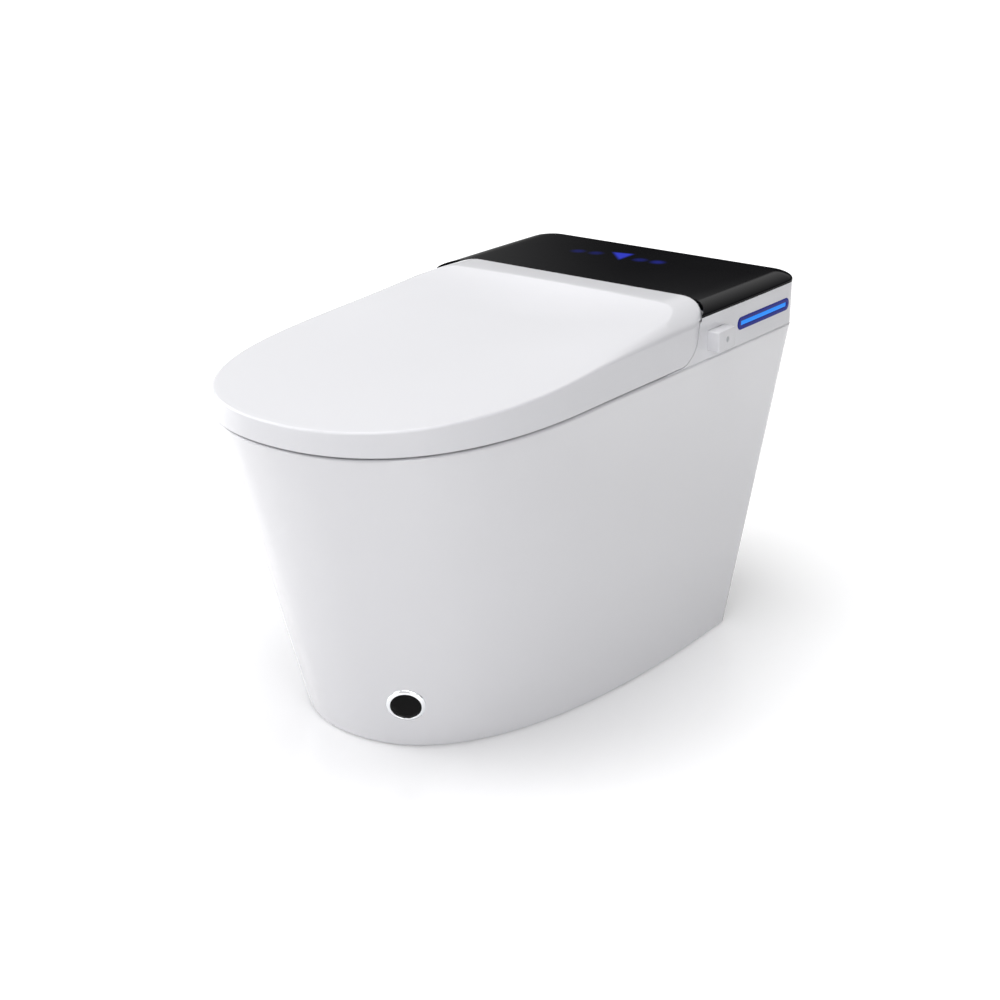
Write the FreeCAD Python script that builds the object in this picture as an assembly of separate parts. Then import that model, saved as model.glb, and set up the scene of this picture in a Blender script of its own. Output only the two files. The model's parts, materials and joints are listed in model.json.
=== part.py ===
import FreeCAD, Part
import os
from math import cos, hypot, pi, radians, sin, sqrt

# Smart toilet with a heated seat: one-piece ceramic pedestal, washing unit behind the bowl,
# heated seat and closing lid on one hinge line, glossy cover over the electronics.
# Frame: origin on the floor at the centre of the drain outlet, +Z up, front of the bowl at -Y,
# x = 0 on the mirror plane. Millimetres.

V = FreeCAD.Vector

# ---- ceramic: overall plan and height ----
TOTAL_LENGTH = 741.0          # front tip of the deck to its rear edge
REAR_Y = 295.0                # rear edge of the deck, 10 mm short of a wall at 305 mm rough-in
FRONT_Y = REAR_Y - TOTAL_LENGTH
DECK_Z = 365.0                # top of the ceramic
DECK_HALF_MID = 191.0         # half width where the rounded nose begins
DECK_HALF_REAR = 197.0        # half width at the rear corners
DECK_NOSE = 270.0             # length of the rounded nose in plan
DECK_FULLNESS = 0.658         # fullness of the nose curve (0.552 is an ellipse)
DECK_CORNER = 34.0            # rear corner radius in plan
DECK_MID_Y = FRONT_Y + DECK_NOSE
DECK_EDGE_ROUND = 3.0
BASE_SETBACK = 98.5           # how far the foot stands back from the deck's front tip
BASE_REAR_SETBACK = 139.5     # how far the foot stops short of the deck's rear edge
BASE_HALF = 192.4
BASE_MID_Y = 109.0
BASE_FULLNESS = 0.671
BASE_CORNER = 20.0
BASE_REAR_Y = REAR_Y - BASE_REAR_SETBACK
BASE_NOSE = BASE_MID_Y - (FRONT_Y + BASE_SETBACK)
SKIRT_WALL = 12.0
DECK_THICK = 18.0

# ---- ceramic: bowl, trap and openings ----
HINGE_Y = 50.0                # seat and lid axis
HINGE_Z = DECK_Z + 49.0
RIM_FRONT = 56.0              # deck width in front of the bowl opening
BOWL_REAR_Y = HINGE_Y - 126.0
BOWL_HALF = 128.0
BOWL_WALL = 11.0
BOWL_DEPTH = 247.0
SUMP_Y = -160.0
SUMP_HALF = 30.0
TRAP_BORE = 26.0              # radius of the waterway
TRAP_WALL = 10.0
TRAP_START_DEPTH = 235.0      # sump end of the waterway below the deck
TRAP_RISE = 85.0              # from there up to the weir bend
TRAP_BEND = 45.0
TRAP_ENTRY_BEND = 60.0
OUTLET_SEAT_Z = 12.0          # the ceramic outlet horn ends this far above the floor
WELL_HALF = 150.0             # opening in the deck behind the bowl
WELL_FRONT_Y = BOWL_REAR_Y + 36.0
WELL_REAR_Y = REAR_Y - 33.0
WELL_CORNER = 20.0
ACCESS_HALF = 125.0           # service opening in the rear wall
ACCESS_LOW_Z = 120.0
ACCESS_HIGH = 40.0            # its top edge below the deck
ACCESS_CORNER = 18.0

# ---- lid ----
LID_GAP = 3.0                 # lid rim above the deck
LID_OVERHANG = 1.0            # lid rim outside the deck
LID_WALL = 4.0
LID_BOTTOM_Z = DECK_Z + LID_GAP
LID_FRONT_Z = DECK_Z + 27.7   # lid top at its front edge
LID_SLOPE = 0.0503
LID_REAR_Y = HINGE_Y + 38.0
LID_CORNER = 46.0
LID_REAR_FLARE = 2.0          # the rear is this much wider than the middle, each side
LID_EDGE_ROUND = 3.0
LID_BAND_Z = DECK_Z + 66.0    # raised band along the rear edge
LID_BAND_MARGIN = 2.0         # its side rolls end this far outside the lid's side wall
LID_BAND_ROLL = 28.0          # their height; they start where the rear corners start
LID_ROLL_WIDTH = 23.0         # the ramp's own side roll
LID_REAR_LIP_Z = HINGE_Z      # lower edge of the lid behind the hinge line
LID_HEEL_RADIUS = 36.0        # rounded lower rear corner of the lid's sides
LID_HEEL_Y = 14.0
LID_HEEL_Z = LID_BOTTOM_Z + LID_HEEL_RADIUS
# top in front of the band: y from the hinge line, then the rise over the sloping plane
# at the centre, at the shoulder and at the side edge
LID_RISES = [(-310.0, -1.5, 0.0, 0.0), (-250.0, -2.0, 0.5, 0.3), (-200.0, -2.0, 1.8, 0.3),
             (-150.0, -1.9, 3.9, -1.5), (-110.0, -1.5, 5.4, -3.2), (-80.0, -0.8, 6.6, -4.4),
             (-50.0, 1.7, 8.1, -4.8), (-30.0, 4.9, 9.9, -4.5), (-15.0, 8.7, 12.1, -3.9),
             (-2.0, 13.5, 15.2, -2.5), (15.0, 21.6, 20.6, 0.6), (40.0, 37.3, 31.3, 7.3)]
LID_OPEN_DEG = 98.0

# ---- seat ----
SEAT_SIDE_GAP = 3.5           # seat edge inside the lid wall
SEAT_UNDER_Z = DECK_Z + 6.5
SEAT_FRONT_TOP_Z = DECK_Z + 21.5
SEAT_SLOPE = 0.036
SEAT_REAR_Y = HINGE_Y - 44.0
SEAT_CORNER = 40.0
SEAT_HOLE_HALF = 106.0
SEAT_RING_FRONT = 62.0        # width of the ring at the front
SEAT_HOLE_REAR_Y = HINGE_Y - 148.0
SEAT_HOLE_FULLNESS = 0.60
SEAT_SKIN = 3.0
SEAT_BASE_THICK = 3.0
SEAT_EDGE_ROUND = 6.0
SEAT_FIT = 0.3
HEATER_THICK = 0.8

# ---- hinge ----
PIN_R = 4.0
PIN_RUN = 0.05                # radial clearance where a part turns on the pin
PIN_SEAT = 0.02
BARREL_R = 11.0
TOWER_BARREL_R = 11.5
TOWER_X = 100.0
TOWER_WIDTH = 24.0
HINGE_SIDE_GAP = 0.4
SEAT_LUG_WIDTH = 15.4
LID_LUG_WIDTH = 16.0
DAMPER_R = 9.5
DAMPER_LENGTH = 22.0
POCKET_CLEAR = 1.5            # around the lid's sweep

# ---- rear housing, chassis and cover ----
HOUSING_GAP = 0.3
HOUSING_INSET = 0.5
HOUSING_WALL = 3.5
HOUSING_TOP_Z = DECK_Z + 52.0
COVER_TOP_Z = DECK_Z + 62.5
COVER_WALL = 3.5
COVER_ROLL_SIDE = 26.0        # width of the roll down along the sides
COVER_ROLL_REAR = 20.0
COVER_ROLL_DROP = 8.5
SEAM = 1.8                    # visible gap between lid and housing or cover
COVER_INSET = 0.3
TOE_FRONT_Y = HINGE_Y - 62.0
FRONT_WALL_Y = HINGE_Y + 9.0
GASKET_THICK = 1.0
PLATE_THICK = 3.0
PLATE_Z = DECK_Z + GASKET_THICK
PLATE_TOP_Z = PLATE_Z + PLATE_THICK
PLATE_FRONT_HALF = 165.0
PLATE_FRONT_Y = WELL_FRONT_Y - 16.0
PLATE_FIT = 0.3
SCREW_X = 168.0
SCREW_Y = (REAR_Y - 185.0, REAR_Y - 55.0)
SCREW_R = 4.0
SCREW_HEAD_R = 7.0
SCREW_HEAD = 4.5
NUT_R = 9.0
NUT_THICK = 6.0

# ---- washing unit ----
WAND_SLOPE_DEG = 18.0
WAND_R = 6.5
WAND_BORE_R = 4.5
WAND_RUN = 0.10
WAND_LENGTH = 200.0
WAND_X = 14.0
WAND_TIP_DROP = 47.0          # wand axis at the face below the deck
WAND_STROKE = 90.0
WAND_TIP_BACK = 2.0           # retracted tip behind the face
FACE_Y = BOWL_REAR_Y - 12.0
NOTCH_LEFT_X = -38.0
NOTCH_RIGHT_X = 86.0
NOTCH_DROP = 69.0
NOTCH_FRONT_Y = BOWL_REAR_Y - 46.0
UNIT_FIT = 1.5
GUIDE_HALF = 30.0
GUIDE_REAR_Y = HINGE_Y - 30.0
GUIDE_WALL = 3.0
DUCT_LEFT_X = 37.0
DUCT_WIDTH = 45.0
DUCT_TOP_DROP = 8.0
DUCT_HEIGHT = 34.0
DUCT_WALL = 2.0
FLAP_THICK = 1.8
FLAP_OPEN_DEG = 60.0
FLAP_PIN_R = 1.5
FLAP_GAP = 0.4
BLOWER_R = 36.0
BLOWER_Y = HINGE_Y + 78.0

# ---- flushing, water and power ----
TANK_FRONT_Y = HINGE_Y + 50.0
TANK_REAR_Y = WELL_REAR_Y - 12.0
TANK_LOW_Z = DECK_Z - 175.0
TANK_LEFT_X = -146.0
TANK_RIGHT_X = -24.0
FLUSH_X = -66.0
FLUSH_Z = DECK_Z - 137.0
FLUSH_R = 11.0
FLUSH_BEND = 50.0
PUMP_R = 24.0
INLET_X = 100.0
INLET_Y = REAR_Y - 63.0
INLET_Z = 290.0
SPIGOT_R = 10.48              # G 1/2 male thread, major diameter 20.96
SPIGOT_LENGTH = 18.0
CORD_X = 52.0
CORD_HOLE_R = 3.6
GLAND_LENGTH = 14.0

# ---- side button and light bars ----
BUTTON_Y = HINGE_Y + 39.5
BUTTON_Z = DECK_Z + 22.0
BUTTON_LENGTH = 38.0
BUTTON_HEIGHT = 24.0
BUTTON_FACE_X = 209.0
BUTTON_DEPTH = 21.5
BUTTON_FIT = 0.35
BUTTON_ROUND = 2.5
BUTTON_TRAVEL = 2.5
INDICATOR_R = 2.5
INDICATOR_DEPTH = 1.0
BAR_Y = HINGE_Y + 149.5
BAR_Z = DECK_Z + 26.5
BAR_LENGTH = 125.0
BAR_HEIGHT = 15.5
BAR_CORE_LENGTH = 109.0
BAR_CORE_HEIGHT = 6.0
BAR_DEPTH = 6.0
BAR_FIT = 0.2

# ---- foot sensor ----
SENSOR_PLACE = 0.762          # place along the nose curve, 1 is the front tip
SENSOR_Z = 57.0
SENSOR_R = 20.5
SENSOR_LENS_R = 16.8
SENSOR_BODY_R = 15.0
SENSOR_PROUD = 2.0
SENSOR_BODY = 26.0


def wire(points, closed=True):
    """Polygon wire through points."""
    pts = list(points) + ([points[0]] if closed else [])
    return Part.makePolygon(pts)


def nose_poles(half_mid, mid_y, nose, fullness, z):
    """Control points of one side of the rounded nose, from the widest point to the tip."""
    return [V(half_mid, mid_y, z), V(half_mid, mid_y - fullness * nose, z),
            V(fullness * half_mid, mid_y - nose, z), V(0, mid_y - nose, z)]


def bezier(poles):
    """Bezier curve through its end poles."""
    curve = Part.BezierCurve()
    curve.setPoles(poles)
    return curve


def plan_outline(half_mid, half_rear, mid_y, nose, fullness, rear_y, corner, z):
    """Closed plan outline: straight rear, round rear corners, eased sides, rounded nose."""
    straight = half_rear - corner
    side_y = rear_y - corner
    ease = (side_y - mid_y) / 3
    c = cos(pi / 4)
    arc = [V(straight, rear_y, z), V(straight + corner * c, side_y + corner * c, z),
           V(half_rear, side_y, z)]
    side = [V(half_rear, side_y, z), V(half_rear, side_y - ease, z),
            V(half_mid, mid_y + ease, z), V(half_mid, mid_y, z)]
    tip = nose_poles(half_mid, mid_y, nose, fullness, z)

    def other(points):
        return [V(-p.x, p.y, p.z) for p in reversed(points)]

    rear = Part.LineSegment(V(-straight, rear_y, z), V(straight, rear_y, z)).toShape()
    edges = [rear, Part.Arc(*arc).toShape(), bezier(side).toShape(), bezier(tip).toShape(),
             bezier(other(tip)).toShape(), bezier(other(side)).toShape(),
             Part.Arc(*other(arc)).toShape()]
    return Part.Wire(edges)


def deck_outline(z, inset=0.0):
    """Outline of the ceramic deck, moved in by inset."""
    return plan_outline(DECK_HALF_MID - inset, DECK_HALF_REAR - inset, DECK_MID_Y,
                        DECK_NOSE - inset, DECK_FULLNESS, REAR_Y - inset, DECK_CORNER - inset, z)


def base_outline(z, inset=0.0):
    """Outline of the foot, moved in by inset."""
    return plan_outline(BASE_HALF - inset, BASE_HALF - inset, BASE_MID_Y,
                        BASE_NOSE - inset, BASE_FULLNESS, BASE_REAR_Y - inset,
                        BASE_CORNER - inset, z)


def lid_outline(z, inset=0.0, rear_inset=None):
    """Outline of the lid, moved in by inset."""
    grow = LID_OVERHANG - inset
    rear = LID_REAR_Y - (inset if rear_inset is None else rear_inset)
    return plan_outline(DECK_HALF_MID + grow, DECK_HALF_MID + LID_REAR_FLARE + grow, DECK_MID_Y,
                        DECK_NOSE + grow, DECK_FULLNESS, rear, LID_CORNER - inset, z)


def prism(outline, height):
    """Solid of a closed wire raised along +Z."""
    return Part.Face(outline).extrude(V(0, 0, height))


def box(x0, x1, y0, y1, z0, z1):
    """Box between two corners."""
    return Part.makeBox(x1 - x0, y1 - y0, z1 - z0, V(x0, y0, z0))


def round_box(x0, x1, y0, y1, z0, z1, r, axis):
    """Box whose edges along one axis are rounded."""
    solid = box(x0, x1, y0, y1, z0, z1)
    edges = [e for e in solid.Edges if abs(abs(e.tangentAt(e.FirstParameter).dot(axis)) - 1) < 1e-6]
    return solid.makeFillet(r, edges)


def side_profile(points, x0, x1):
    """Solid of a (y, z) polygon between two x values."""
    face = Part.Face(wire([V(x0, y, z) for y, z in points]))
    return face.extrude(V(x1 - x0, 0, 0))


def x_cylinder(radius, x0, x1, y, z):
    """Cylinder along X."""
    return Part.makeCylinder(radius, x1 - x0, V(x0, y, z), V(1, 0, 0))


def mirrored(shape):
    """The same shape on the other side of the mirror plane."""
    return shape.mirror(V(0, 0, 0), V(1, 0, 0))


# ---------------------------------------------------------------- ceramic

def skirt(inset):
    """Tapered body between the foot and the deck, moved in by inset."""
    return Part.makeLoft([base_outline(0.0, inset), deck_outline(DECK_Z, inset)], True, True)


def bowl_solid(wall):
    """Inside of the bowl grown by wall, as a stack of ellipses."""
    front = FRONT_Y + RIM_FRONT
    centre = (front + BOWL_REAR_Y) / 2
    half = (BOWL_REAR_Y - front) / 2
    steps = [(-1.0, 1.0, 1.0), (35.0, 0.965, 0.955), (85.0, 0.84, 0.83), (135.0, 0.64, 0.66),
             (185.0, 0.43, 0.47), (BOWL_DEPTH - 22.0, 0.27, 0.31), (BOWL_DEPTH, 0.20, 0.23)]
    rings = []
    for depth, along, across in steps:
        y = centre + (SUMP_Y - 8.0 - centre) * (1 - along) / 0.8
        half_y = half * along + wall
        half_x = min(BOWL_HALF * across + wall, half_y - 0.01)
        z = DECK_Z - depth - (wall if depth == BOWL_DEPTH else 0.0)
        ring = Part.Ellipse(V(0, y + half_y, z), V(half_x, y, z), V(0, y, z))
        rings.append(Part.Wire(ring.toShape()))
    return Part.makeLoft(rings, True, False)


def trap_solid(radius):
    """Waterway from the sump over the weir and down to the outlet, as one round tube."""
    z0 = DECK_Z - TRAP_START_DEPTH
    top = z0 + TRAP_RISE
    t1 = TRAP_ENTRY_BEND * (sqrt(2) - 1)          # tangent length of the 45 degree bend
    start = V(0, SUMP_Y, z0)
    p1 = V(0, SUMP_Y + TRAP_RISE - t1 * cos(pi / 4), top - t1 * sin(pi / 4))
    p2 = V(0, SUMP_Y + TRAP_RISE + t1, top)
    m1 = V(0, p2.y - TRAP_ENTRY_BEND * sin(pi / 8),
           top - TRAP_ENTRY_BEND * (1 - cos(pi / 8)))
    p3 = V(0, -TRAP_BEND, top)
    m2 = V(0, -TRAP_BEND * (1 - sin(pi / 4)), top - TRAP_BEND * (1 - cos(pi / 4)))
    p4 = V(0, 0, top - TRAP_BEND)
    end = V(0, 0, OUTLET_SEAT_Z - (1.0 if radius == TRAP_BORE else 0.0))
    path = Part.Wire([Part.LineSegment(start, p1).toShape(), Part.Arc(p1, m1, p2).toShape(),
                      Part.LineSegment(p2, p3).toShape(), Part.Arc(p3, m2, p4).toShape(),
                      Part.LineSegment(p4, end).toShape()])
    ring = Part.Wire(Part.Circle(start, V(0, 1, 1), radius).toShape())
    tube = path.makePipeShell([ring], True, True)
    return tube.fuse(Part.makeSphere(radius, start))


def sensor_frame():
    """Centre and outward normal of the foot sensor on the skirt."""
    low = bezier(nose_poles(BASE_HALF, BASE_MID_Y, BASE_NOSE, BASE_FULLNESS, 0.0))
    high = bezier(nose_poles(DECK_HALF_MID, DECK_MID_Y, DECK_NOSE, DECK_FULLNESS, DECK_Z))

    def at(z, t):
        foot = low.value(t)
        return foot + (high.value(t) - foot) * (z / DECK_Z)
    centre = at(SENSOR_Z, SENSOR_PLACE)
    along = at(SENSOR_Z, SENSOR_PLACE + 0.01) - at(SENSOR_Z, SENSOR_PLACE - 0.01)
    rise = at(SENSOR_Z + 5, SENSOR_PLACE) - at(SENSOR_Z - 5, SENSOR_PLACE)
    normal = rise.cross(along)
    normal.normalize()
    if normal.y > 0:
        normal = normal * -1
    return centre, normal


def ceramic_pedestal():
    """Vitreous china body: skirt, deck, bowl, trap, rear well and service opening."""
    outer = skirt(0.0)
    top_edges = [e for e in outer.Edges
                 if min(v.Z for v in e.Vertexes) > DECK_Z - 0.01]
    outer = outer.makeFillet(DECK_EDGE_ROUND, top_edges)
    below_deck = box(-400, 400, FRONT_Y - 50, REAR_Y + 50, -5, DECK_Z - DECK_THICK)
    hollow = Part.makeLoft([base_outline(-1.0, SKIRT_WALL), deck_outline(DECK_Z, SKIRT_WALL)],
                           True, True).common(below_deck)
    bowl_out = bowl_solid(BOWL_WALL).common(box(-400, 400, FRONT_Y, REAR_Y, 0, DECK_Z - 2))
    body = outer.cut(hollow).fuse([bowl_out, trap_solid(TRAP_BORE + TRAP_WALL)])
    well = round_box(-WELL_HALF, WELL_HALF, WELL_FRONT_Y, WELL_REAR_Y,
                     DECK_Z - DECK_THICK - 5, DECK_Z + 5, WELL_CORNER, V(0, 0, 1))
    notch = box(NOTCH_LEFT_X, NOTCH_RIGHT_X, NOTCH_FRONT_Y, WELL_FRONT_Y + 5,
                DECK_Z - NOTCH_DROP, DECK_Z + 5)
    access = round_box(-ACCESS_HALF, ACCESS_HALF, BASE_REAR_Y - 40, REAR_Y + 20,
                       ACCESS_LOW_Z, DECK_Z - ACCESS_HIGH, ACCESS_CORNER, V(0, 1, 0))
    centre, normal = sensor_frame()
    sensor_hole = Part.makeCylinder(SENSOR_BODY_R + 0.5, 60, centre - normal * 40, normal)
    holes = [Part.makeCylinder(SCREW_R + 0.5, DECK_THICK + 10, V(s * SCREW_X, y, DECK_Z - 23))
             for s in (-1, 1) for y in SCREW_Y]
    return body.cut([bowl_solid(0.0), trap_solid(TRAP_BORE), well, notch, access, sensor_hole,
                     flush_run(FLUSH_R + 0.3)] + holes)


def outlet_gasket():
    """Rubber floor ring around the outlet horn, the drain connection."""
    horn = TRAP_BORE + TRAP_WALL
    pts = [(34, 0), (55, 0), (55, OUTLET_SEAT_Z), (46, OUTLET_SEAT_Z + 18),
           (horn + 0.3, OUTLET_SEAT_Z + 18), (horn + 0.3, OUTLET_SEAT_Z), (34, OUTLET_SEAT_Z)]
    face = Part.Face(wire([V(r, 0, z) for r, z in pts]))
    return face.revolve(V(0, 0, 0), V(0, 0, 1), 360)


# ---------------------------------------------------------------- lid

def lid_side_x():
    """Half width of the lid along its straight sides."""
    return DECK_HALF_MID + LID_OVERHANG + LID_REAR_FLARE


def ramp_height(x, y, rises):
    """Height of the sloping top: hollow along the middle, rolled down at the sides."""
    centre, shoulder, edge = rises
    flat = lid_side_x() - LID_ROLL_WIDTH
    t = abs(x) / flat
    if t <= 1:
        rise = centre + (shoulder - centre) * t * t * (3 - 2 * t)
    else:
        rise = shoulder + (edge - shoulder) * min((abs(x) - flat) / LID_ROLL_WIDTH, 1.15) ** 4
    return LID_FRONT_Z + LID_SLOPE * (y - FRONT_Y) + rise


def under_ramp(drop):
    """Everything below the lid's sloping top, lowered by drop."""
    side = lid_side_x()
    flat = side - LID_ROLL_WIDTH
    xs = [flat * k for k in (0.0, 0.25, 0.5, 0.75, 0.92)]
    xs += [flat + LID_ROLL_WIDTH * k for k in (0.2, 0.55, 0.8, 1.0, 1.5)]
    xs = [-x for x in reversed(xs[1:])] + xs
    start = FRONT_Y - 14.0
    first = HINGE_Y + LID_RISES[0][0]
    rows = [(start + (first - start) * k, (c, 0, 0))
            for k, c in ((0.0, 0.0), (0.33, 0.0), (0.66, -0.7))]
    rows += [(HINGE_Y + rel, rises) for rel, *rises in LID_RISES]
    grid = [[V(x, y, ramp_height(x, y, rises) - drop) for y, rises in rows] for x in xs]
    surface = Part.BSplineSurface()
    surface.interpolate(grid)
    return surface.toShape().extrude(V(0, 0, -150))


def band_roll():
    """Start, width and height of the band's side roll."""
    start = lid_side_x() - LID_CORNER
    return start, LID_CORNER + LID_BAND_MARGIN, LID_BAND_ROLL


def under_band(drop):
    """Everything below the raised band and its rolls at the sides, lowered by drop."""
    start, width, height = band_roll()
    side, top = start + width, LID_BAND_Z - drop
    k = 0.5523
    right = [V(start, 0, top), V(start + k * width, 0, top),
             V(side, 0, top - height + k * height), V(side, 0, top - height)]
    left = [V(-p.x, 0, p.z) for p in reversed(right)]
    floor = [right[-1], V(side, 0, DECK_Z - 60), V(-side, 0, DECK_Z - 60), left[0]]
    edges = [bezier(left).toShape(), Part.LineSegment(left[-1], right[0]).toShape(),
             bezier(right).toShape()]
    edges += [Part.LineSegment(p, q).toShape() for p, q in zip(floor, floor[1:])]
    face = Part.Face(Part.Wire(edges))
    face.translate(V(0, FRONT_Y - 30, 0))
    return face.extrude(V(0, LID_REAR_Y - FRONT_Y + 60, 0))


def band_height(x):
    """Height of the band's top at a distance from the middle."""
    start, width, height = band_roll()
    t = min(max((abs(x) - start) / width, 0.0), 1.0)
    return LID_BAND_Z - height * (1 - sqrt(1 - t * t))


def heel_cut(clear):
    """Side profile behind and below the lid's rounded rear corner, moved back by clear."""
    r = LID_HEEL_RADIUS + clear
    low = LID_HEEL_Z - r
    a, b, c = V(0, LID_HEEL_Y, low), V(0, LID_HEEL_Y + r * sin(pi / 4),
                                       LID_HEEL_Z - r * cos(pi / 4)), V(0, LID_HEEL_Y + r, LID_HEEL_Z)
    lip = V(0, LID_HEEL_Y + r + 4.0, LID_REAR_LIP_Z - clear)
    far_y = REAR_Y + 60
    corner_pts = [lip, V(0, far_y, lip.z), V(0, far_y, low - 60), V(0, LID_HEEL_Y, low - 60), a]
    edges = [Part.Arc(a, b, c).toShape(), Part.LineSegment(c, lip).toShape()]
    edges += [Part.LineSegment(p, q).toShape() for p, q in zip(corner_pts, corner_pts[1:])]
    face = Part.Face(Part.Wire(edges))
    face.translate(V(-300, 0, 0))
    return face.extrude(V(600, 0, 0))


def lug_x():
    """Start of the seat lug and of the lid lug on the hinge line."""
    seat = TOWER_X + TOWER_WIDTH + HINGE_SIDE_GAP
    return seat, seat + SEAT_LUG_WIDTH + HINGE_SIDE_GAP


def is_lid_top_edge(edge):
    """True where the lid's top meets its side wall, and along the crease of the band."""
    ends = edge.Vertexes
    return min(v.Z for v in ends) > LID_BOTTOM_Z + 10 and abs(ends[0].X - ends[-1].X) > 1e-4


def lid_shell():
    """Lid: deep one-piece shell with the ramp, the rear band and two hinge lugs."""
    outer = prism(lid_outline(LID_BOTTOM_Z), 120).common(under_ramp(0.0))
    outer = outer.common(under_band(0.0))
    outer = outer.makeFillet(LID_EDGE_ROUND, [e for e in outer.Edges if is_lid_top_edge(e)])
    inner = prism(lid_outline(LID_BOTTOM_Z - 5, LID_WALL), 120).common(under_ramp(LID_WALL))
    inner = inner.common(under_band(LID_WALL))
    shell = outer.cut(inner).cut(heel_cut(0.0))
    x0 = lug_x()[1]
    for s in (1, -1):
        a, b = sorted((s * x0, s * (x0 + LID_LUG_WIDTH)))
        lug = x_cylinder(BARREL_R, a, b, HINGE_Y, HINGE_Z)
        lug = lug.fuse(box(a, b, HINGE_Y - BARREL_R + 1, HINGE_Y + BARREL_R - 1,
                           HINGE_Z, band_height(b) - LID_WALL / 2))
        bore = x_cylinder(PIN_R + PIN_RUN, a - 1, b + 1, HINGE_Y, HINGE_Z)
        shell = shell.fuse(lug).cut(bore)
    return shell.removeSplitter()


# ---------------------------------------------------------------- seat

def seat_outline(z, inset=0.0):
    """Outer outline of the seat."""
    d = LID_WALL + SEAT_SIDE_GAP + inset
    grow = LID_OVERHANG - d
    return plan_outline(DECK_HALF_MID + grow, DECK_HALF_MID + grow, DECK_MID_Y,
                        DECK_NOSE + grow, DECK_FULLNESS, SEAT_REAR_Y - inset,
                        SEAT_CORNER - inset, z)


def seat_hole(z, inset, height):
    """Opening in the seat ring, made smaller by inset."""
    front = FRONT_Y + SEAT_RING_FRONT
    y = (front + SEAT_HOLE_REAR_Y) / 2
    half_y = (SEAT_HOLE_REAR_Y - front) / 2 - inset
    right = nose_poles(SEAT_HOLE_HALF - inset, y, half_y, SEAT_HOLE_FULLNESS, z)
    rear = [V(p.x, 2 * y - p.y, z) for p in reversed(right)]
    left = [V(-p.x, p.y, z) for p in reversed(right)]
    rear_left = [V(-p.x, p.y, z) for p in reversed(rear)]
    return prism(Part.Wire([bezier(q).toShape() for q in (right, left, rear_left, rear)]), height)


def seat_slab(under, drop, inset, hole_inset):
    """Seat ring between a flat underside and the sloping top lowered by drop."""
    ring = prism(seat_outline(under, inset), 60).cut(seat_hole(under - 1, hole_inset, 80))
    y0, y1 = FRONT_Y - 10, SEAT_REAR_Y + 10
    z0 = SEAT_FRONT_TOP_Z + SEAT_SLOPE * (y0 - FRONT_Y) - drop
    z1 = SEAT_FRONT_TOP_Z + SEAT_SLOPE * (y1 - FRONT_Y) - drop
    return ring.common(side_profile([(y0, under), (y1, under), (y1, z1), (y0, z0)], -300, 300))


def seat_top():
    """Upper seat shell with rounded edges, hollow underneath, and two hinge lugs."""
    ring = seat_slab(SEAT_UNDER_Z, 0.0, 0.0, 0.0)
    edges = [e for e in ring.Edges if min(v.Z for v in e.Vertexes) > SEAT_UNDER_Z + 10]
    ring = ring.makeFillet(SEAT_EDGE_ROUND, edges)
    cavity = seat_slab(SEAT_UNDER_Z - 1, SEAT_SKIN, SEAT_SKIN, -SEAT_SKIN)
    shell = ring.cut(cavity)
    x0 = lug_x()[0]
    arm = [(SEAT_REAR_Y - 2, SEAT_UNDER_Z), (SEAT_REAR_Y - 2, HINGE_Z - 16),
           (HINGE_Y - 7, HINGE_Z + 8), (HINGE_Y + 4, HINGE_Z - 9), (HINGE_Y - 18, HINGE_Z - 22),
           (SEAT_REAR_Y + 6, SEAT_UNDER_Z)]
    for s in (1, -1):
        a, b = sorted((s * x0, s * (x0 + SEAT_LUG_WIDTH)))
        lug = x_cylinder(BARREL_R, a, b, HINGE_Y, HINGE_Z).fuse(side_profile(arm, a, b))
        bore = x_cylinder(PIN_R + PIN_RUN, a - 1, b + 1, HINGE_Y, HINGE_Z)
        shell = shell.fuse(lug).cut(bore)
    return shell.removeSplitter()


def seat_base():
    """Flat closing plate let into the underside of the seat."""
    inset = SEAT_SKIN + SEAT_FIT
    plate = prism(seat_outline(SEAT_UNDER_Z, inset), SEAT_BASE_THICK)
    return plate.cut(seat_hole(SEAT_UNDER_Z - 1, -inset, 20))


def seat_heater():
    """Heating foil bonded under the seat's upper skin."""
    inset = SEAT_SKIN + 6.0
    under = SEAT_UNDER_Z + SEAT_BASE_THICK
    full = seat_slab(under, SEAT_SKIN, inset, -inset)
    return full.cut(seat_slab(under - 1, SEAT_SKIN + HEATER_THICK, inset - 1, -inset + 1))


def pads(centres, radius, z0, height):
    """Round rubber pads."""
    return Part.makeCompound([Part.makeCylinder(radius, height, V(x, y, z0))
                              for x, y in centres])


def seat_bumpers():
    """Four rubber feet between the seat and the ceramic."""
    front, rear = FRONT_Y + 58.0, HINGE_Y - 150.0
    z = DECK_Z + 0.3
    return pads([(-62, front), (62, front), (-148, rear), (148, rear)], 7.0, z, SEAT_UNDER_Z - z)


def lid_bumpers():
    """Rubber pads on the lid's underside that rest on the seat."""
    y = FRONT_Y + 44.0
    low = SEAT_FRONT_TOP_Z + SEAT_SLOPE * (y + 7 - FRONT_Y) + 0.3
    return pads([(-70, y), (70, y)], 6.0, low, 20.0).common(under_ramp(LID_WALL))


# ---------------------------------------------------------------- hinge hardware

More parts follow.
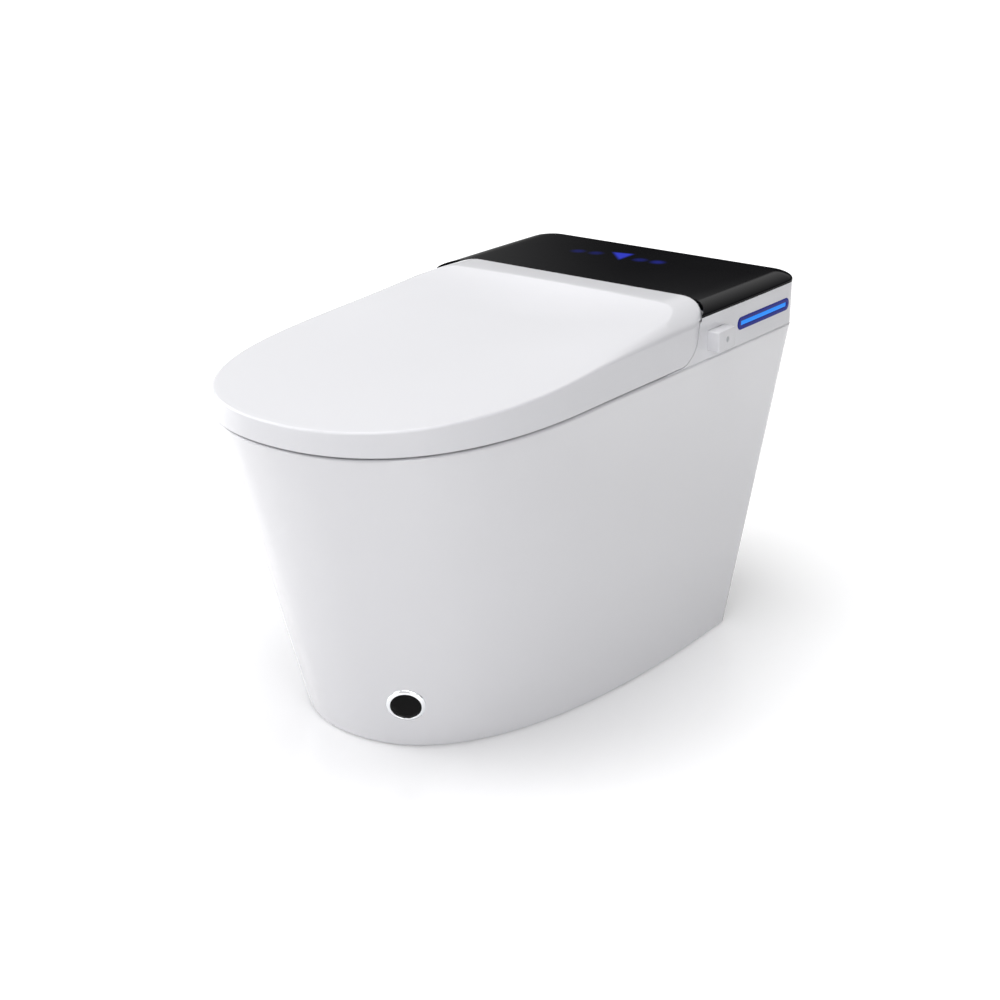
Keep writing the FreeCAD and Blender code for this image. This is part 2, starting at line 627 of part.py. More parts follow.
def hinge_tower():
    """Right hinge bracket: foot, sloping neck and barrel."""
    x0, x1 = TOWER_X, TOWER_X + TOWER_WIDTH
    barrel = x_cylinder(TOWER_BARREL_R, x0, x1, HINGE_Y, HINGE_Z)
    neck = side_profile([(HINGE_Y - 10, HINGE_Z - 2), (HINGE_Y - 2.5, HINGE_Z - 10.6),
                         (HINGE_Y - 10.5, PLATE_TOP_Z), (HINGE_Y - 34, PLATE_TOP_Z)], x0, x1)
    foot = box(x0 - 10, x1, HINGE_Y - 40, HINGE_Y - 12, PLATE_TOP_Z, PLATE_TOP_Z + 3)
    bore = x_cylinder(PIN_R + PIN_SEAT, x0 - 1, x1 + 1, HINGE_Y, HINGE_Z)
    return barrel.fuse([neck, foot]).cut(bore).removeSplitter()


def hinge_pin():
    """Right hinge pin, from the damper through bracket, seat lug and lid lug."""
    end = lug_x()[1] + LID_LUG_WIDTH + 1.5
    return x_cylinder(PIN_R, TOWER_X - DAMPER_LENGTH + 8, end, HINGE_Y, HINGE_Z)


def hinge_damper():
    """Right slow-close damper on the inner side of the bracket."""
    can = x_cylinder(DAMPER_R, TOWER_X - DAMPER_LENGTH, TOWER_X, HINGE_Y, HINGE_Z)
    return can.cut(x_cylinder(PIN_R + PIN_SEAT, TOWER_X - DAMPER_LENGTH + 8, TOWER_X + 1,
                              HINGE_Y, HINGE_Z))


def lid_sweep(grow):
    """Space that the lid's rear edge sweeps through as it opens, grown by grow."""
    half = lid_side_x()
    flat = half - LID_CORNER

    def reach(x):
        d = max(0.0, min(x, half) - flat)
        y = LID_REAR_Y - LID_CORNER + sqrt(max(0.0, LID_CORNER ** 2 - d ** 2))
        return hypot(max(0.0, y - HINGE_Y), band_height(x) - HINGE_Z) + POCKET_CLEAR + grow

    xs = [flat + LID_CORNER * k for k in (0.0, 0.2, 0.4, 0.55, 0.7, 0.8, 0.9, 0.97)] + [half + 6]
    edge = [V(x, HINGE_Y + reach(x), HINGE_Z) for x in xs]
    pts = [V(-p.x, p.y, p.z) for p in reversed(edge)] + edge
    pts += [V(pts[-1].x, HINGE_Y, HINGE_Z), V(pts[0].x, HINGE_Y, HINGE_Z)]
    return Part.Face(wire(pts)).revolve(V(0, HINGE_Y, HINGE_Z), V(1, 0, 0), 360)


# ---------------------------------------------------------------- chassis, housing, cover

def chassis_plate():
    """Floor of the washing unit on the ceramic deck."""
    front = box(-PLATE_FRONT_HALF, PLATE_FRONT_HALF, PLATE_FRONT_Y, FRONT_WALL_Y + 10,
                PLATE_Z, PLATE_TOP_Z)
    inset = HOUSING_INSET + HOUSING_WALL + PLATE_FIT
    rear = prism(deck_outline(PLATE_Z, inset), PLATE_THICK)
    rear = rear.common(box(-300, 300, FRONT_WALL_Y, REAR_Y, PLATE_Z - 1, PLATE_TOP_Z + 1))
    slot = box(-GUIDE_HALF - 2, GUIDE_HALF + 2, GUIDE_REAR_Y, HINGE_Y + 100,
               PLATE_Z - 1, PLATE_TOP_Z + 1)
    holes = [Part.makeCylinder(SCREW_R + 0.3, 10, V(s * SCREW_X, y, PLATE_Z - 2))
             for s in (-1, 1) for y in SCREW_Y]
    return front.fuse(rear).cut([slot] + holes).removeSplitter()


def deck_gasket():
    """Foam ring that seals the chassis plate to the deck around the well."""
    ring = round_box(-WELL_HALF - 10, WELL_HALF + 10, WELL_FRONT_Y - 12, WELL_REAR_Y + 10,
                     DECK_Z, PLATE_Z, WELL_CORNER, V(0, 0, 1))
    hole = round_box(-WELL_HALF - 2, WELL_HALF + 2, WELL_FRONT_Y - 2, WELL_REAR_Y + 2,
                     DECK_Z - 1, PLATE_Z + 1, WELL_CORNER, V(0, 0, 1))
    notch = box(NOTCH_LEFT_X - 2, NOTCH_RIGHT_X + 2, PLATE_FRONT_Y - 10, WELL_FRONT_Y,
                DECK_Z - 1, PLATE_Z + 1)
    return ring.cut([hole, notch])


def deck_screws():
    """Four screws that hold the plate to the ceramic."""
    def one(x, y):
        head = Part.makeCylinder(SCREW_HEAD_R, SCREW_HEAD, V(x, y, PLATE_TOP_Z))
        low = DECK_Z - DECK_THICK - NUT_THICK - 4
        return head.fuse(Part.makeCylinder(SCREW_R, PLATE_TOP_Z - low, V(x, y, low)))
    return Part.makeCompound([one(s * SCREW_X, y) for s in (-1, 1) for y in SCREW_Y])


def deck_screw_nuts():
    """Rubber-faced nuts under the deck."""
    def one(x, y):
        z = DECK_Z - DECK_THICK - NUT_THICK
        nut = Part.makeCylinder(NUT_R, NUT_THICK, V(x, y, z))
        return nut.cut(Part.makeCylinder(SCREW_R + 0.02, NUT_THICK + 2, V(x, y, z - 1)))
    return Part.makeCompound([one(s * SCREW_X, y) for s in (-1, 1) for y in SCREW_Y])


def stadium(length, height, depth, x, y, z):
    """Bar with round ends, length along y, depth along +x."""
    r = height / 2
    mid = box(x, x + depth, y - length / 2 + r, y + length / 2 - r, z - r, z + r)
    ends = [x_cylinder(r, x, x + depth, y + s * (length / 2 - r), z) for s in (-1, 1)]
    return mid.fuse(ends).removeSplitter()


def lid_space(clear):
    """Space that the closed lid takes above the housing, grown by clear."""
    zone = prism(lid_outline(LID_BOTTOM_Z - clear, -clear), 100)
    return zone.cut(heel_cut(clear))


def button_prism(fit, x0, x1):
    """Rounded block of the side button, grown by fit, between two x values."""
    half_y, half_z = BUTTON_LENGTH / 2 + fit, BUTTON_HEIGHT / 2 + fit
    return round_box(x0, x1, BUTTON_Y - half_y, BUTTON_Y + half_y,
                     BUTTON_Z - half_z, BUTTON_Z + half_z, BUTTON_ROUND, V(1, 0, 0))


def rear_housing():
    """White wall around the electronics: toes below the lid's heel, hollow front wall."""
    z0 = DECK_Z + HOUSING_GAP
    height = HOUSING_TOP_Z - z0
    ring = prism(deck_outline(z0, HOUSING_INSET), height).cut(
        prism(deck_outline(z0 - 1, HOUSING_INSET + HOUSING_WALL), height + 2))
    ring = ring.common(box(-300, 300, TOE_FRONT_Y, REAR_Y, z0, HOUSING_TOP_Z))
    block = box(-300, 300, FRONT_WALL_Y, REAR_Y - 40, PLATE_TOP_Z, HOUSING_TOP_Z)
    block = block.common(prism(deck_outline(z0, HOUSING_INSET + 1), height))
    room = box(-300, 300, FRONT_WALL_Y + HOUSING_WALL, REAR_Y, PLATE_TOP_Z - 1, HOUSING_TOP_Z + 1)
    room = room.common(prism(deck_outline(z0, HOUSING_INSET + HOUSING_WALL), height + 1))
    front = block.cut(room.cut(lid_sweep(HOUSING_WALL)))
    shell = ring.fuse(front).cut([lid_space(SEAM), lid_sweep(0.0)])
    slot = box(-GUIDE_HALF - 2, GUIDE_HALF + 2, HINGE_Y, REAR_Y - 60, PLATE_Z, DECK_Z + 26)
    bars = [stadium(BAR_LENGTH + 2 * BAR_FIT, BAR_HEIGHT + 2 * BAR_FIT, 40, x, BAR_Y, BAR_Z)
            for x in (170, -210)]
    return shell.cut([slot, button_prism(BUTTON_FIT, 180, 215)] + bars)


def under_cover(drop):
    """Everything below the cover's top, which rolls down to the sides and the rear."""
    top, k = COVER_TOP_Z - drop, 0.5523

    def roll(far, width):
        low = top - COVER_ROLL_DROP
        return [(far - width, top), (far - width + k * width, top),
                (far, low + k * COVER_ROLL_DROP), (far, low)]

    side = [V(x, 0, z) for x, z in roll(DECK_HALF_REAR, COVER_ROLL_SIDE)]
    other = [V(-p.x, 0, p.z) for p in reversed(side)]
    floor = [side[-1], V(side[-1].x, 0, DECK_Z), V(-side[-1].x, 0, DECK_Z), other[0]]
    edges = [bezier(other).toShape(), Part.LineSegment(other[-1], side[0]).toShape(),
             bezier(side).toShape()]
    edges += [Part.LineSegment(p, q).toShape() for p, q in zip(floor, floor[1:])]
    across = Part.Face(Part.Wire(edges)).extrude(V(0, REAR_Y + 20, 0))
    rear = [V(-300, y, z) for y, z in roll(REAR_Y, COVER_ROLL_REAR)]
    rest = [rear[-1], V(-300, REAR_Y, DECK_Z), V(-300, 0, DECK_Z), V(-300, 0, top), rear[0]]
    edges = [bezier(rear).toShape()]
    edges += [Part.LineSegment(p, q).toShape() for p, q in zip(rest, rest[1:])]
    return across.common(Part.Face(Part.Wire(edges)).extrude(V(600, 0, 0)))


def top_cover():
    """Black cover over the electronics, rolled down at the sides and the rear."""
    height = COVER_TOP_Z - HOUSING_TOP_Z
    zone = box(-300, 300, HINGE_Y + 8, REAR_Y + 9, HOUSING_TOP_Z - 1, COVER_TOP_Z + 1)
    outer = prism(deck_outline(HOUSING_TOP_Z, COVER_INSET), height + 1).common(zone)
    outer = outer.common(under_cover(0.0))
    front = prism(lid_outline(HOUSING_TOP_Z - 1, -SEAM), 60)
    inner = prism(deck_outline(HOUSING_TOP_Z - 1, COVER_INSET + COVER_WALL), height + 1)
    inner_front = prism(lid_outline(HOUSING_TOP_Z - 2, -SEAM - COVER_WALL), 60)
    hollow = inner.common(zone).common(under_cover(COVER_WALL))
    return outer.cut([front, lid_sweep(0.0), hollow.cut([inner_front, lid_sweep(COVER_WALL)])])


# ---------------------------------------------------------------- washing unit

def wand_axis():
    """Point at the face and unit direction (towards the rear) of the wand line."""
    a = radians(WAND_SLOPE_DEG)
    return V(0, FACE_Y, DECK_Z - WAND_TIP_DROP), V(0, cos(a), sin(a))


def wand():
    """Spray wand at x = 0, retracted: round nose, water channel, flat with spray holes."""
    face, d = wand_axis()
    tip = face + d * WAND_TIP_BACK
    rod = Part.makeCylinder(WAND_R, WAND_LENGTH, tip, d)
    nose = [e for e in rod.Edges if e.Curve.TypeId == "Part::GeomCircle"
            and (e.Curve.Center - tip).Length < 0.01]
    rod = rod.makeFillet(WAND_R * 0.6, nose)
    up = V(0, -d.z, d.y)
    channel = Part.makeCylinder(WAND_BORE_R / 2, WAND_LENGTH, tip + d * 10, d)
    flat = Part.makeBox(2 * WAND_R, 14, 4, V(-WAND_R, 0, 0))
    flat.rotate(V(0, 0, 0), V(1, 0, 0), WAND_SLOPE_DEG)
    flat.translate(tip + d * 6 + up * (WAND_R - 0.8))
    holes = [Part.makeCylinder(0.7, WAND_R, tip + d * k, up) for k in (10.5, 13.0, 15.5)]
    return rod.cut([channel, flat] + holes)


def nozzle_guide():
    """Block that carries both wands on their slope, with a tray foot on the plate."""
    face, d = wand_axis()
    rise = d.z / d.y
    top = WAND_R + GUIDE_WALL
    z_rear = face.z + rise * (GUIDE_REAR_Y - FACE_Y)
    pts = [(FACE_Y, face.z - top), (GUIDE_REAR_Y, z_rear - top), (GUIDE_REAR_Y, PLATE_Z),
           (FACE_Y, PLATE_Z)]
    block = side_profile(pts, -GUIDE_HALF, GUIDE_HALF)
    bores = [Part.makeCylinder(WAND_R + WAND_RUN, WAND_LENGTH + 60, V(s * WAND_X, 0, 0)
                               + face - d * 30, d) for s in (-1, 1)]
    return block.cut(bores)


def duct_box():
    """Corners of the dryer duct: x0, x1, z0, z1."""
    z1 = DECK_Z - DUCT_TOP_DROP
    return DUCT_LEFT_X, DUCT_LEFT_X + DUCT_WIDTH, z1 - DUCT_HEIGHT, z1


def dryer_duct():
    """Warm-air duct from the blower to the face beside the wands."""
    x0, x1, z0, z1 = duct_box()
    w = DUCT_WALL
    y0, y1 = FACE_Y + FLAP_THICK + 1.0, BLOWER_Y
    duct = box(x0, x1, y0, y1, z0, z1).cut(box(x0 + w, x1 - w, y0 - 1, y1 + 1, z0 + w, z1 - w))
    duct = duct.cut(x_cylinder(BLOWER_R + 0.2, x0 - 1, x1 + 1, BLOWER_Y, blower_z()))
    ears = [box(a, a + w, y0 - 4, y0 + 2, z1 - 5, z1 + 3) for a in (x0, x1 - w)]
    lug = box(x0, x1, HINGE_Y - 90, HINGE_Y - 70, z1 - 0.5, PLATE_Z)
    pin = x_cylinder(FLAP_PIN_R + PIN_RUN, x0 - 1, x1 + 1, flap_axis()[0], flap_axis()[1])
    return duct.fuse(ears + [lug]).cut(pin).removeSplitter()


def blower_z():
    """Height of the blower axis, level with the upper part of the duct."""
    return duct_box()[3] - BLOWER_R + 2


def flap_axis():
    """Hinge line (y, z) of the dryer flap."""
    return FACE_Y - 0.2, duct_box()[3] + 0.5


def dryer_flap():
    """Flap that closes the duct mouth, hinged at its upper edge."""
    x0, x1, z0, z1 = duct_box()
    y, z = flap_axis()
    gap = DUCT_WALL + FLAP_GAP
    plate = box(x0 + gap, x1 - gap, FACE_Y - 1, FACE_Y - 1 + FLAP_THICK, z0 + 1, z)
    plate = plate.fuse(x_cylinder(FLAP_PIN_R + 0.9, x0 + gap, x1 - gap, y, z))
    return plate.fuse(x_cylinder(FLAP_PIN_R, x0 + 0.2, x1 - 0.2, y, z)).removeSplitter()


def dryer_blower():
    """Radial blower behind the duct, hung from the plate."""
    x0, x1, _, _ = duct_box()
    y, z = BLOWER_Y, blower_z()
    volute = x_cylinder(BLOWER_R, x0, x1, y, z)
    eye = x_cylinder(BLOWER_R * 0.42, x1 - 3, x1 + 1, y, z)
    motor = x_cylinder(BLOWER_R * 0.45, x0 - 14, x0, y, z)
    hanger = box(x0 + 6, x1 - 6, y - 9, y + 9, z + BLOWER_R - 4, PLATE_Z)
    return volute.cut(eye).fuse([motor, hanger]).removeSplitter()


def wand_motor():
    """Gear motor beside the right wand's rear end, standing on the plate."""
    x0 = GUIDE_HALF + 6
    y0 = HINGE_Y + 56
    body = round_box(x0, x0 + 26, y0, y0 + 34, PLATE_TOP_Z, PLATE_TOP_Z + 26, 3, V(0, 0, 1))
    return body.fuse(x_cylinder(9, x0 + 26, x0 + 34, y0 + 17, PLATE_TOP_Z + 13))


# ---------------------------------------------------------------- flushing and water

def flush_tank():
    """Flush water tank that hangs in the well from the plate."""
    pts = [(TANK_FRONT_Y, TANK_LOW_Z), (TANK_REAR_Y - 58, TANK_LOW_Z),
           (TANK_REAR_Y - 8, TANK_LOW_Z + 130), (TANK_REAR_Y, PLATE_Z),
           (TANK_FRONT_Y, PLATE_Z)]
    tank = side_profile(pts, TANK_LEFT_X, TANK_RIGHT_X)
    edges = [e for e in tank.Edges if e.Length > 40 and max(v.Z for v in e.Vertexes) < PLATE_Z - 1]
    return tank.makeFillet(8, edges)


def flush_pump():
    """Pump on the front of the tank."""
    y1 = TANK_FRONT_Y
    body = Part.makeCylinder(PUMP_R, 42, V(FLUSH_X, y1 - 42, FLUSH_Z), V(0, 1, 0))
    boss = Part.makeCylinder(PUMP_R * 0.6, 14, V(FLUSH_X, y1 - 56, FLUSH_Z), V(0, 1, 0))
    rib = [e for e in body.Edges if e.Curve.TypeId == "Part::GeomCircle"
           and abs(e.Curve.Center.y - y1 + 42) < 0.01]
    return body.makeFillet(5, rib).fuse(boss)


def flush_line():
    """Centre points of the flush pipe from the pump to the bowl."""
    start = V(FLUSH_X, TANK_FRONT_Y - 56, FLUSH_Z)
    bend = V(FLUSH_X, BOWL_REAR_Y + 60, FLUSH_Z)
    end = V(FLUSH_X, BOWL_REAR_Y - 20, FLUSH_Z + 80)
    return start, bend, end


def flush_run(radius):
    """Round tube of the given radius along the flush line."""
    start, bend, end = flush_line()
    t = FLUSH_BEND * (sqrt(2) - 1)
    p1 = bend + V(0, t, 0)
    p2 = bend + V(0, -t * cos(pi / 4), t * sin(pi / 4))
    mid = V(FLUSH_X, p1.y - FLUSH_BEND * sin(pi / 8),
            FLUSH_Z + FLUSH_BEND * (1 - cos(pi / 8)))
    path = Part.Wire([Part.LineSegment(start, p1).toShape(), Part.Arc(p1, mid, p2).toShape(),
                      Part.LineSegment(p2, end).toShape()])
    ring = Part.Wire(Part.Circle(start, V(0, 1, 0), radius).toShape())
    return path.makePipeShell([ring], True, True)


def flush_pipe():
    """Pipe from the pump through the bowl's rear wall."""
    tube = flush_run(FLUSH_R).cut(flush_run(FLUSH_R - 2.0))
    return tube.cut(bowl_solid(BOWL_WALL / 2))


def inlet_valve():
    """Solenoid valve with the threaded supply spigot facing the wall."""
    x, y0 = INLET_X, INLET_Y
    body = round_box(x - 16, x + 16, y0 - 42, y0, INLET_Z - 16, INLET_Z + 16, 4, V(0, 1, 0))
    riser = box(x - 9, x + 9, y0 - 34, y0 - 12, INLET_Z + 10, PLATE_Z)
    coil = Part.makeCylinder(12, 22, V(x, y0 - 22, INLET_Z - 36))
    collar = Part.makeCylinder(14, 5, V(x, y0, INLET_Z), V(0, 1, 0))
    spigot = Part.makeCylinder(SPIGOT_R, SPIGOT_LENGTH + 5, V(x, y0, INLET_Z), V(0, 1, 0))
    bore = Part.makeCylinder(7.0, SPIGOT_LENGTH + 40, V(x, y0 - 22, INLET_Z), V(0, 1, 0))
    return body.fuse([riser, coil, collar, spigot]).cut(bore).removeSplitter()


def power_inlet():
    """Terminal box behind the cord gland, hung from the plate."""
    x, y0 = CORD_X, INLET_Y
    case = round_box(x - 18, x + 18, y0 - 40, y0, INLET_Z - 14, PLATE_Z, 3, V(0, 1, 0))
    return case.cut(Part.makeCylinder(CORD_HOLE_R, 24, V(x, y0 - 23, INLET_Z), V(0, 1, 0)))


def cord_gland():
    """Gland on the terminal box that takes the supply cord."""
    base = V(CORD_X, INLET_Y, INLET_Z)
    nut = Part.makeCylinder(11, 6, base, V(0, 1, 0)).fuse(
        Part.makeCylinder(8.5, GLAND_LENGTH, base, V(0, 1, 0)))
    return nut.cut(Part.makeCylinder(CORD_HOLE_R, GLAND_LENGTH + 2, base - V(0, 1, 0),
                                     V(0, 1, 0))).removeSplitter()


def water_heater():
    """Instant water heater on the plate."""
    x0, y0 = 74, HINGE_Y + 62
    case = round_box(x0, x0 + 82, y0, y0 + 48, PLATE_TOP_Z, PLATE_TOP_Z + 36, 5, V(0, 0, 1))
    ports = [Part.makeCylinder(5, 10, V(x, y0 + 48, PLATE_TOP_Z + 20), V(0, 1, 0))
             for x in (x0 + 18, x0 + 64)]
    return case.fuse(ports)


def air_filter():
    """Deodorizer: fan case with filter drawer on the plate."""
    x0, y0 = -164, HINGE_Y + 64
    case = round_box(x0, x0 + 62, y0, y0 + 52, PLATE_TOP_Z, PLATE_TOP_Z + 34, 4, V(0, 0, 1))
    fan = Part.makeCylinder(21, 6, V(x0 + 31, y0 + 26, PLATE_TOP_Z + 30))
    return case.cut(fan)


def control_board():
    """Control board on four spacers."""
    x0, y0, x1, y1 = -62, HINGE_Y + 146, 62, REAR_Y - 24
    z = PLATE_TOP_Z + 8
    board = box(x0, x1, y0, y1, z, z + 1.6)
    legs = [Part.makeCylinder(3.5, z - PLATE_TOP_Z, V(x, y, PLATE_TOP_Z))
            for x in (x0 + 6, x1 - 6) for y in (y0 + 6, y1 - 6)]
    chips = [box(-14, 14, y0 + 20, y0 + 48, z + 1.6, z + 5), box(24, 52, y0 + 10, y0 + 26,
                                                               z + 1.6, z + 14)]
    return board.fuse(legs + chips)


def power_module():
    """Power supply in its case."""
    x0, y0 = -154, HINGE_Y + 134
    case = round_box(x0, x0 + 74, y0, y0 + 78, PLATE_TOP_Z, PLATE_TOP_Z + 34, 2, V(0, 0, 1))
    vents = [box(x0 + 12, x0 + 62, y, y + 3, PLATE_TOP_Z + 30, PLATE_TOP_Z + 35)
             for y in range(int(y0) + 14, int(y0) + 66, 8)]
    return case.cut(vents)


def display_board():
    """Display strip under the black cover."""
    z = COVER_TOP_Z - COVER_WALL
    y0 = LID_REAR_Y + 22
    strip = box(-95, 95, y0, y0 + 44, z - 6, z - 0.3)
    return strip


# ---------------------------------------------------------------- lights, button, sensor

def bar_face_x():
    """Outer face of the light bars at mid length."""
    return DECK_HALF_REAR - HOUSING_INSET


def light_frame():
    """Right night-light frame, a bar with round ends and a slot for the guide."""
    ring = deck_outline(DECK_Z, HOUSING_INSET - 0.4)
    bar = stadium(BAR_LENGTH, BAR_HEIGHT, 30, bar_face_x() - BAR_DEPTH, BAR_Y, BAR_Z)
    slot = stadium(BAR_CORE_LENGTH, BAR_CORE_HEIGHT, 40, bar_face_x() - 12, BAR_Y, BAR_Z)
    return bar.common(prism(ring, 80)).cut(slot)


def light_guide():
    """Right light guide in the frame's slot."""
    ring = deck_outline(DECK_Z, HOUSING_INSET - 0.2)
    core = stadium(BAR_CORE_LENGTH, BAR_CORE_HEIGHT, 30, bar_face_x() - BAR_DEPTH, BAR_Y, BAR_Z)
    return core.common(prism(ring, 80))


def side_button():
    """Flush button block that stands out of the right side."""
    block = button_prism(0.0, BUTTON_FACE_X - BUTTON_DEPTH, BUTTON_FACE_X)
    rim = [e for e in block.Edges if min(v.X for v in e.Vertexes) > BUTTON_FACE_X - 0.01]
    block = block.makeFillet(1.6, rim)
    return block.cut(indicator_disc(INDICATOR_DEPTH))


def indicator_disc(depth):
    """Disc of the indicator, let into the button's face."""
    return x_cylinder(INDICATOR_R, BUTTON_FACE_X - depth, BUTTON_FACE_X + 0.2,
                      BUTTON_Y + 1, BUTTON_Z)


def button_indicator():
    """Grey indicator dot in the button's face."""
    return indicator_disc(INDICATOR_DEPTH)


def button_switch():
    """Switch behind the button, on a post from the plate."""
    x1 = BUTTON_FACE_X - BUTTON_DEPTH - BUTTON_TRAVEL - 0.4
    body = box(x1 - 10, x1, BUTTON_Y + 3, BUTTON_Y + 15, BUTTON_Z - 6, BUTTON_Z + 6)
    return body.fuse(box(x1 - 8, x1 - 2, BUTTON_Y + 5, BUTTON_Y + 13, PLATE_TOP_Z, BUTTON_Z))


def sensor_disc(radius, low, high, hole=0.0):
    """Disc about the foot sensor's axis, from low to high along its normal."""
    centre, normal = sensor_frame()
    disc = Part.makeCylinder(radius, high - low, centre + normal * low, normal)
    if hole:
        disc = disc.cut(Part.makeCylinder(hole, high - low + 2, centre + normal * (low - 1),
                                          normal))
    return disc


def foot_sensor_bezel():
    """Bright ring of the foot sensor on the skirt."""
    ring = sensor_disc(SENSOR_R, -6.0, SENSOR_PROUD, SENSOR_LENS_R)
    edges = [e for e in ring.Edges if e.Curve.TypeId == "Part::GeomCircle"]
    top = sensor_frame()[0] + sensor_frame()[1] * SENSOR_PROUD
    ring = ring.makeFillet(1.2, [e for e in edges if (e.Curve.Center - top).Length < 0.01])
    return ring.cut(skirt(0.0))


def foot_sensor_lens():
    """Dark lens of the foot sensor."""
    return sensor_disc(SENSOR_LENS_R - 0.1, -1.0, SENSOR_PROUD - 0.5).cut(skirt(0.0))


def foot_sensor_body():
    """Sensor housing through the skirt wall."""
    return sensor_disc(SENSOR_BODY_R, -SENSOR_BODY, -2.0)


SUBPARTS = {
    "ceramic_pedestal": ceramic_pedestal,
    "outlet_gasket": outlet_gasket,
    "lid_shell": lid_shell,
    "lid_bumpers": lid_bumpers,
    "seat_top": seat_top,
    "seat_base": seat_base,
    "seat_heater": seat_heater,
    "seat_bumpers": seat_bumpers,
    "hinge_bracket_right": hinge_tower,
    "hinge_bracket_left": lambda: mirrored(hinge_tower()),
    "hinge_pin_right": hinge_pin,
    "hinge_pin_left": lambda: mirrored(hinge_pin()),
    "seat_damper": hinge_damper,
    "lid_damper": lambda: mirrored(hinge_damper()),
    "chassis_plate": chassis_plate,
    "deck_gasket": deck_gasket,
    "deck_screws": deck_screws,
    "deck_screw_nuts": deck_screw_nuts,
    "rear_housing": rear_housing,
    "top_cover": top_cover,
    "front_wash_wand": lambda: wand().translated(V(WAND_X, 0, 0)),
    "rear_wash_wand": lambda: wand().translated(V(-WAND_X, 0, 0)),
    "nozzle_guide": nozzle_guide,
    "wand_motor_right": wand_motor,
    "wand_motor_left": lambda: mirrored(wand_motor()),
    "dryer_duct": dryer_duct,
    "dryer_flap": dryer_flap,
    "dryer_blower": dryer_blower,
    "flush_tank": flush_tank,
    "flush_pump": flush_pump,
    "flush_pipe": flush_pipe,
    "inlet_valve": inlet_valve,
    "power_inlet": power_inlet,
    "cord_gland": cord_gland,
    "water_heater": water_heater,
    "air_filter": air_filter,
    "control_board": control_board,
    "power_module": power_module,
    "display_board": display_board,
    "light_frame_right": light_frame,
    "light_frame_left": lambda: mirrored(light_frame()),
    "light_guide_right": light_guide,
    "light_guide_left": lambda: mirrored(light_guide()),
    "side_button": side_button,
    "button_indicator": button_indicator,
    "button_switch": button_switch,
    "foot_sensor_bezel": foot_sensor_bezel,
    "foot_sensor_lens": foot_sensor_lens,
    "foot_sensor_body": foot_sensor_body,
}


def main():
    """Build every sub-part and write its STEP file."""
    os.makedirs("parts", exist_ok=True)
    for name, build in SUBPARTS.items():
        shape = build()
        shape.exportStep("parts/%s.step" % name)
        print("%-20s %2d solids  %12.0f mm3" % (name, len(shape.Solids), shape.Volume))


main()
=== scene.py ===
"""Smart toilet with heated seat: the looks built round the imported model."""

import json
import logging
from collections.abc import Callable, Iterator
from contextlib import contextmanager
from dataclasses import dataclass
from enum import Enum
from math import cos, hypot, pi, radians, sin, sqrt

import bmesh
import bpy
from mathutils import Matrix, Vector


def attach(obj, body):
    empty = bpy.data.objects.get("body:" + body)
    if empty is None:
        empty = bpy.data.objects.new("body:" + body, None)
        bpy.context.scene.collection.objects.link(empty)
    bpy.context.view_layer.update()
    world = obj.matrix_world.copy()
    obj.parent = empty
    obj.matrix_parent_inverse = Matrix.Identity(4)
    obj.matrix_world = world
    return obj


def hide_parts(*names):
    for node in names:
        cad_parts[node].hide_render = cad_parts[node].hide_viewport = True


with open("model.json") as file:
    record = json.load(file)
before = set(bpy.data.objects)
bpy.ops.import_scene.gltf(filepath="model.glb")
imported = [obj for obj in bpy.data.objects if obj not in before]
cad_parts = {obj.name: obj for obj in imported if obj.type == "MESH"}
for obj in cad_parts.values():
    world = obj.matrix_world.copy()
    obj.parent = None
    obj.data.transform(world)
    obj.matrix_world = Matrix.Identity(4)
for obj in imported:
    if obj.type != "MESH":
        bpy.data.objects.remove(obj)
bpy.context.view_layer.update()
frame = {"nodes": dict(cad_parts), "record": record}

logging.basicConfig(level=logging.INFO, format="%(name)s: %(message)s")
log = logging.getLogger("toilet")

MM = 0.001
Plan = tuple[float, float]
Point = tuple[float, float, float]
Rgb = tuple[float, float, float]
Rows = list[list[Point]]
Piece = bpy.types.Object
Socket = bpy.types.NodeSocket
Tree = bpy.types.NodeTree

ACROSS: Point = (1, 0, 0)
ALONG: Point = (0, 1, 0)
UP: Point = (0, 0, 1)


# ---- sizes shared by the pieces

class Side(Enum):
    """The two sides of the object, with the sign of x."""

    RIGHT = 1
    LEFT = -1


class Body(Enum):
    """Moving bodies that pieces ride on."""

    TOILET = "toilet"
    SEAT = "seat"
    LID = "lid"
    BUTTON = "button"


REAR_STEPS, CORNER_STEPS, SIDE_STEPS, NOSE_STEPS = 12, 20, 44, 60


def quarter(steps: int, first: int = 1) -> list[Plan]:
    """Equal steps of a quarter turn.

    Args:
        steps: number of steps.
        first: step to begin at, 0 or 1.

    Returns:
        (sine, cosine) pairs, rising in angle.
    """
    angles = [pi / 2 * k / steps for k in range(first, steps + 1)]
    return [(sin(a), cos(a)) for a in angles]


def spread(start: float, end: float, steps: int) -> list[float]:
    """Equal steps from a start to an end, without the start."""
    return [start + (end - start) * k / steps for k in range(1, steps + 1)]


def bezier(p: list[Plan], t: float) -> Plan:
    """Point of a cubic curve.

    Args:
        p: four control points.
        t: place from 0 to 1.

    Returns:
        The point.
    """
    weights = ((1 - t) ** 3, 3 * t * (1 - t) ** 2, 3 * t * t * (1 - t), t ** 3)
    x, y = (sum(w * q[k] for w, q in zip(weights, p)) for k in (0, 1))
    return x, y


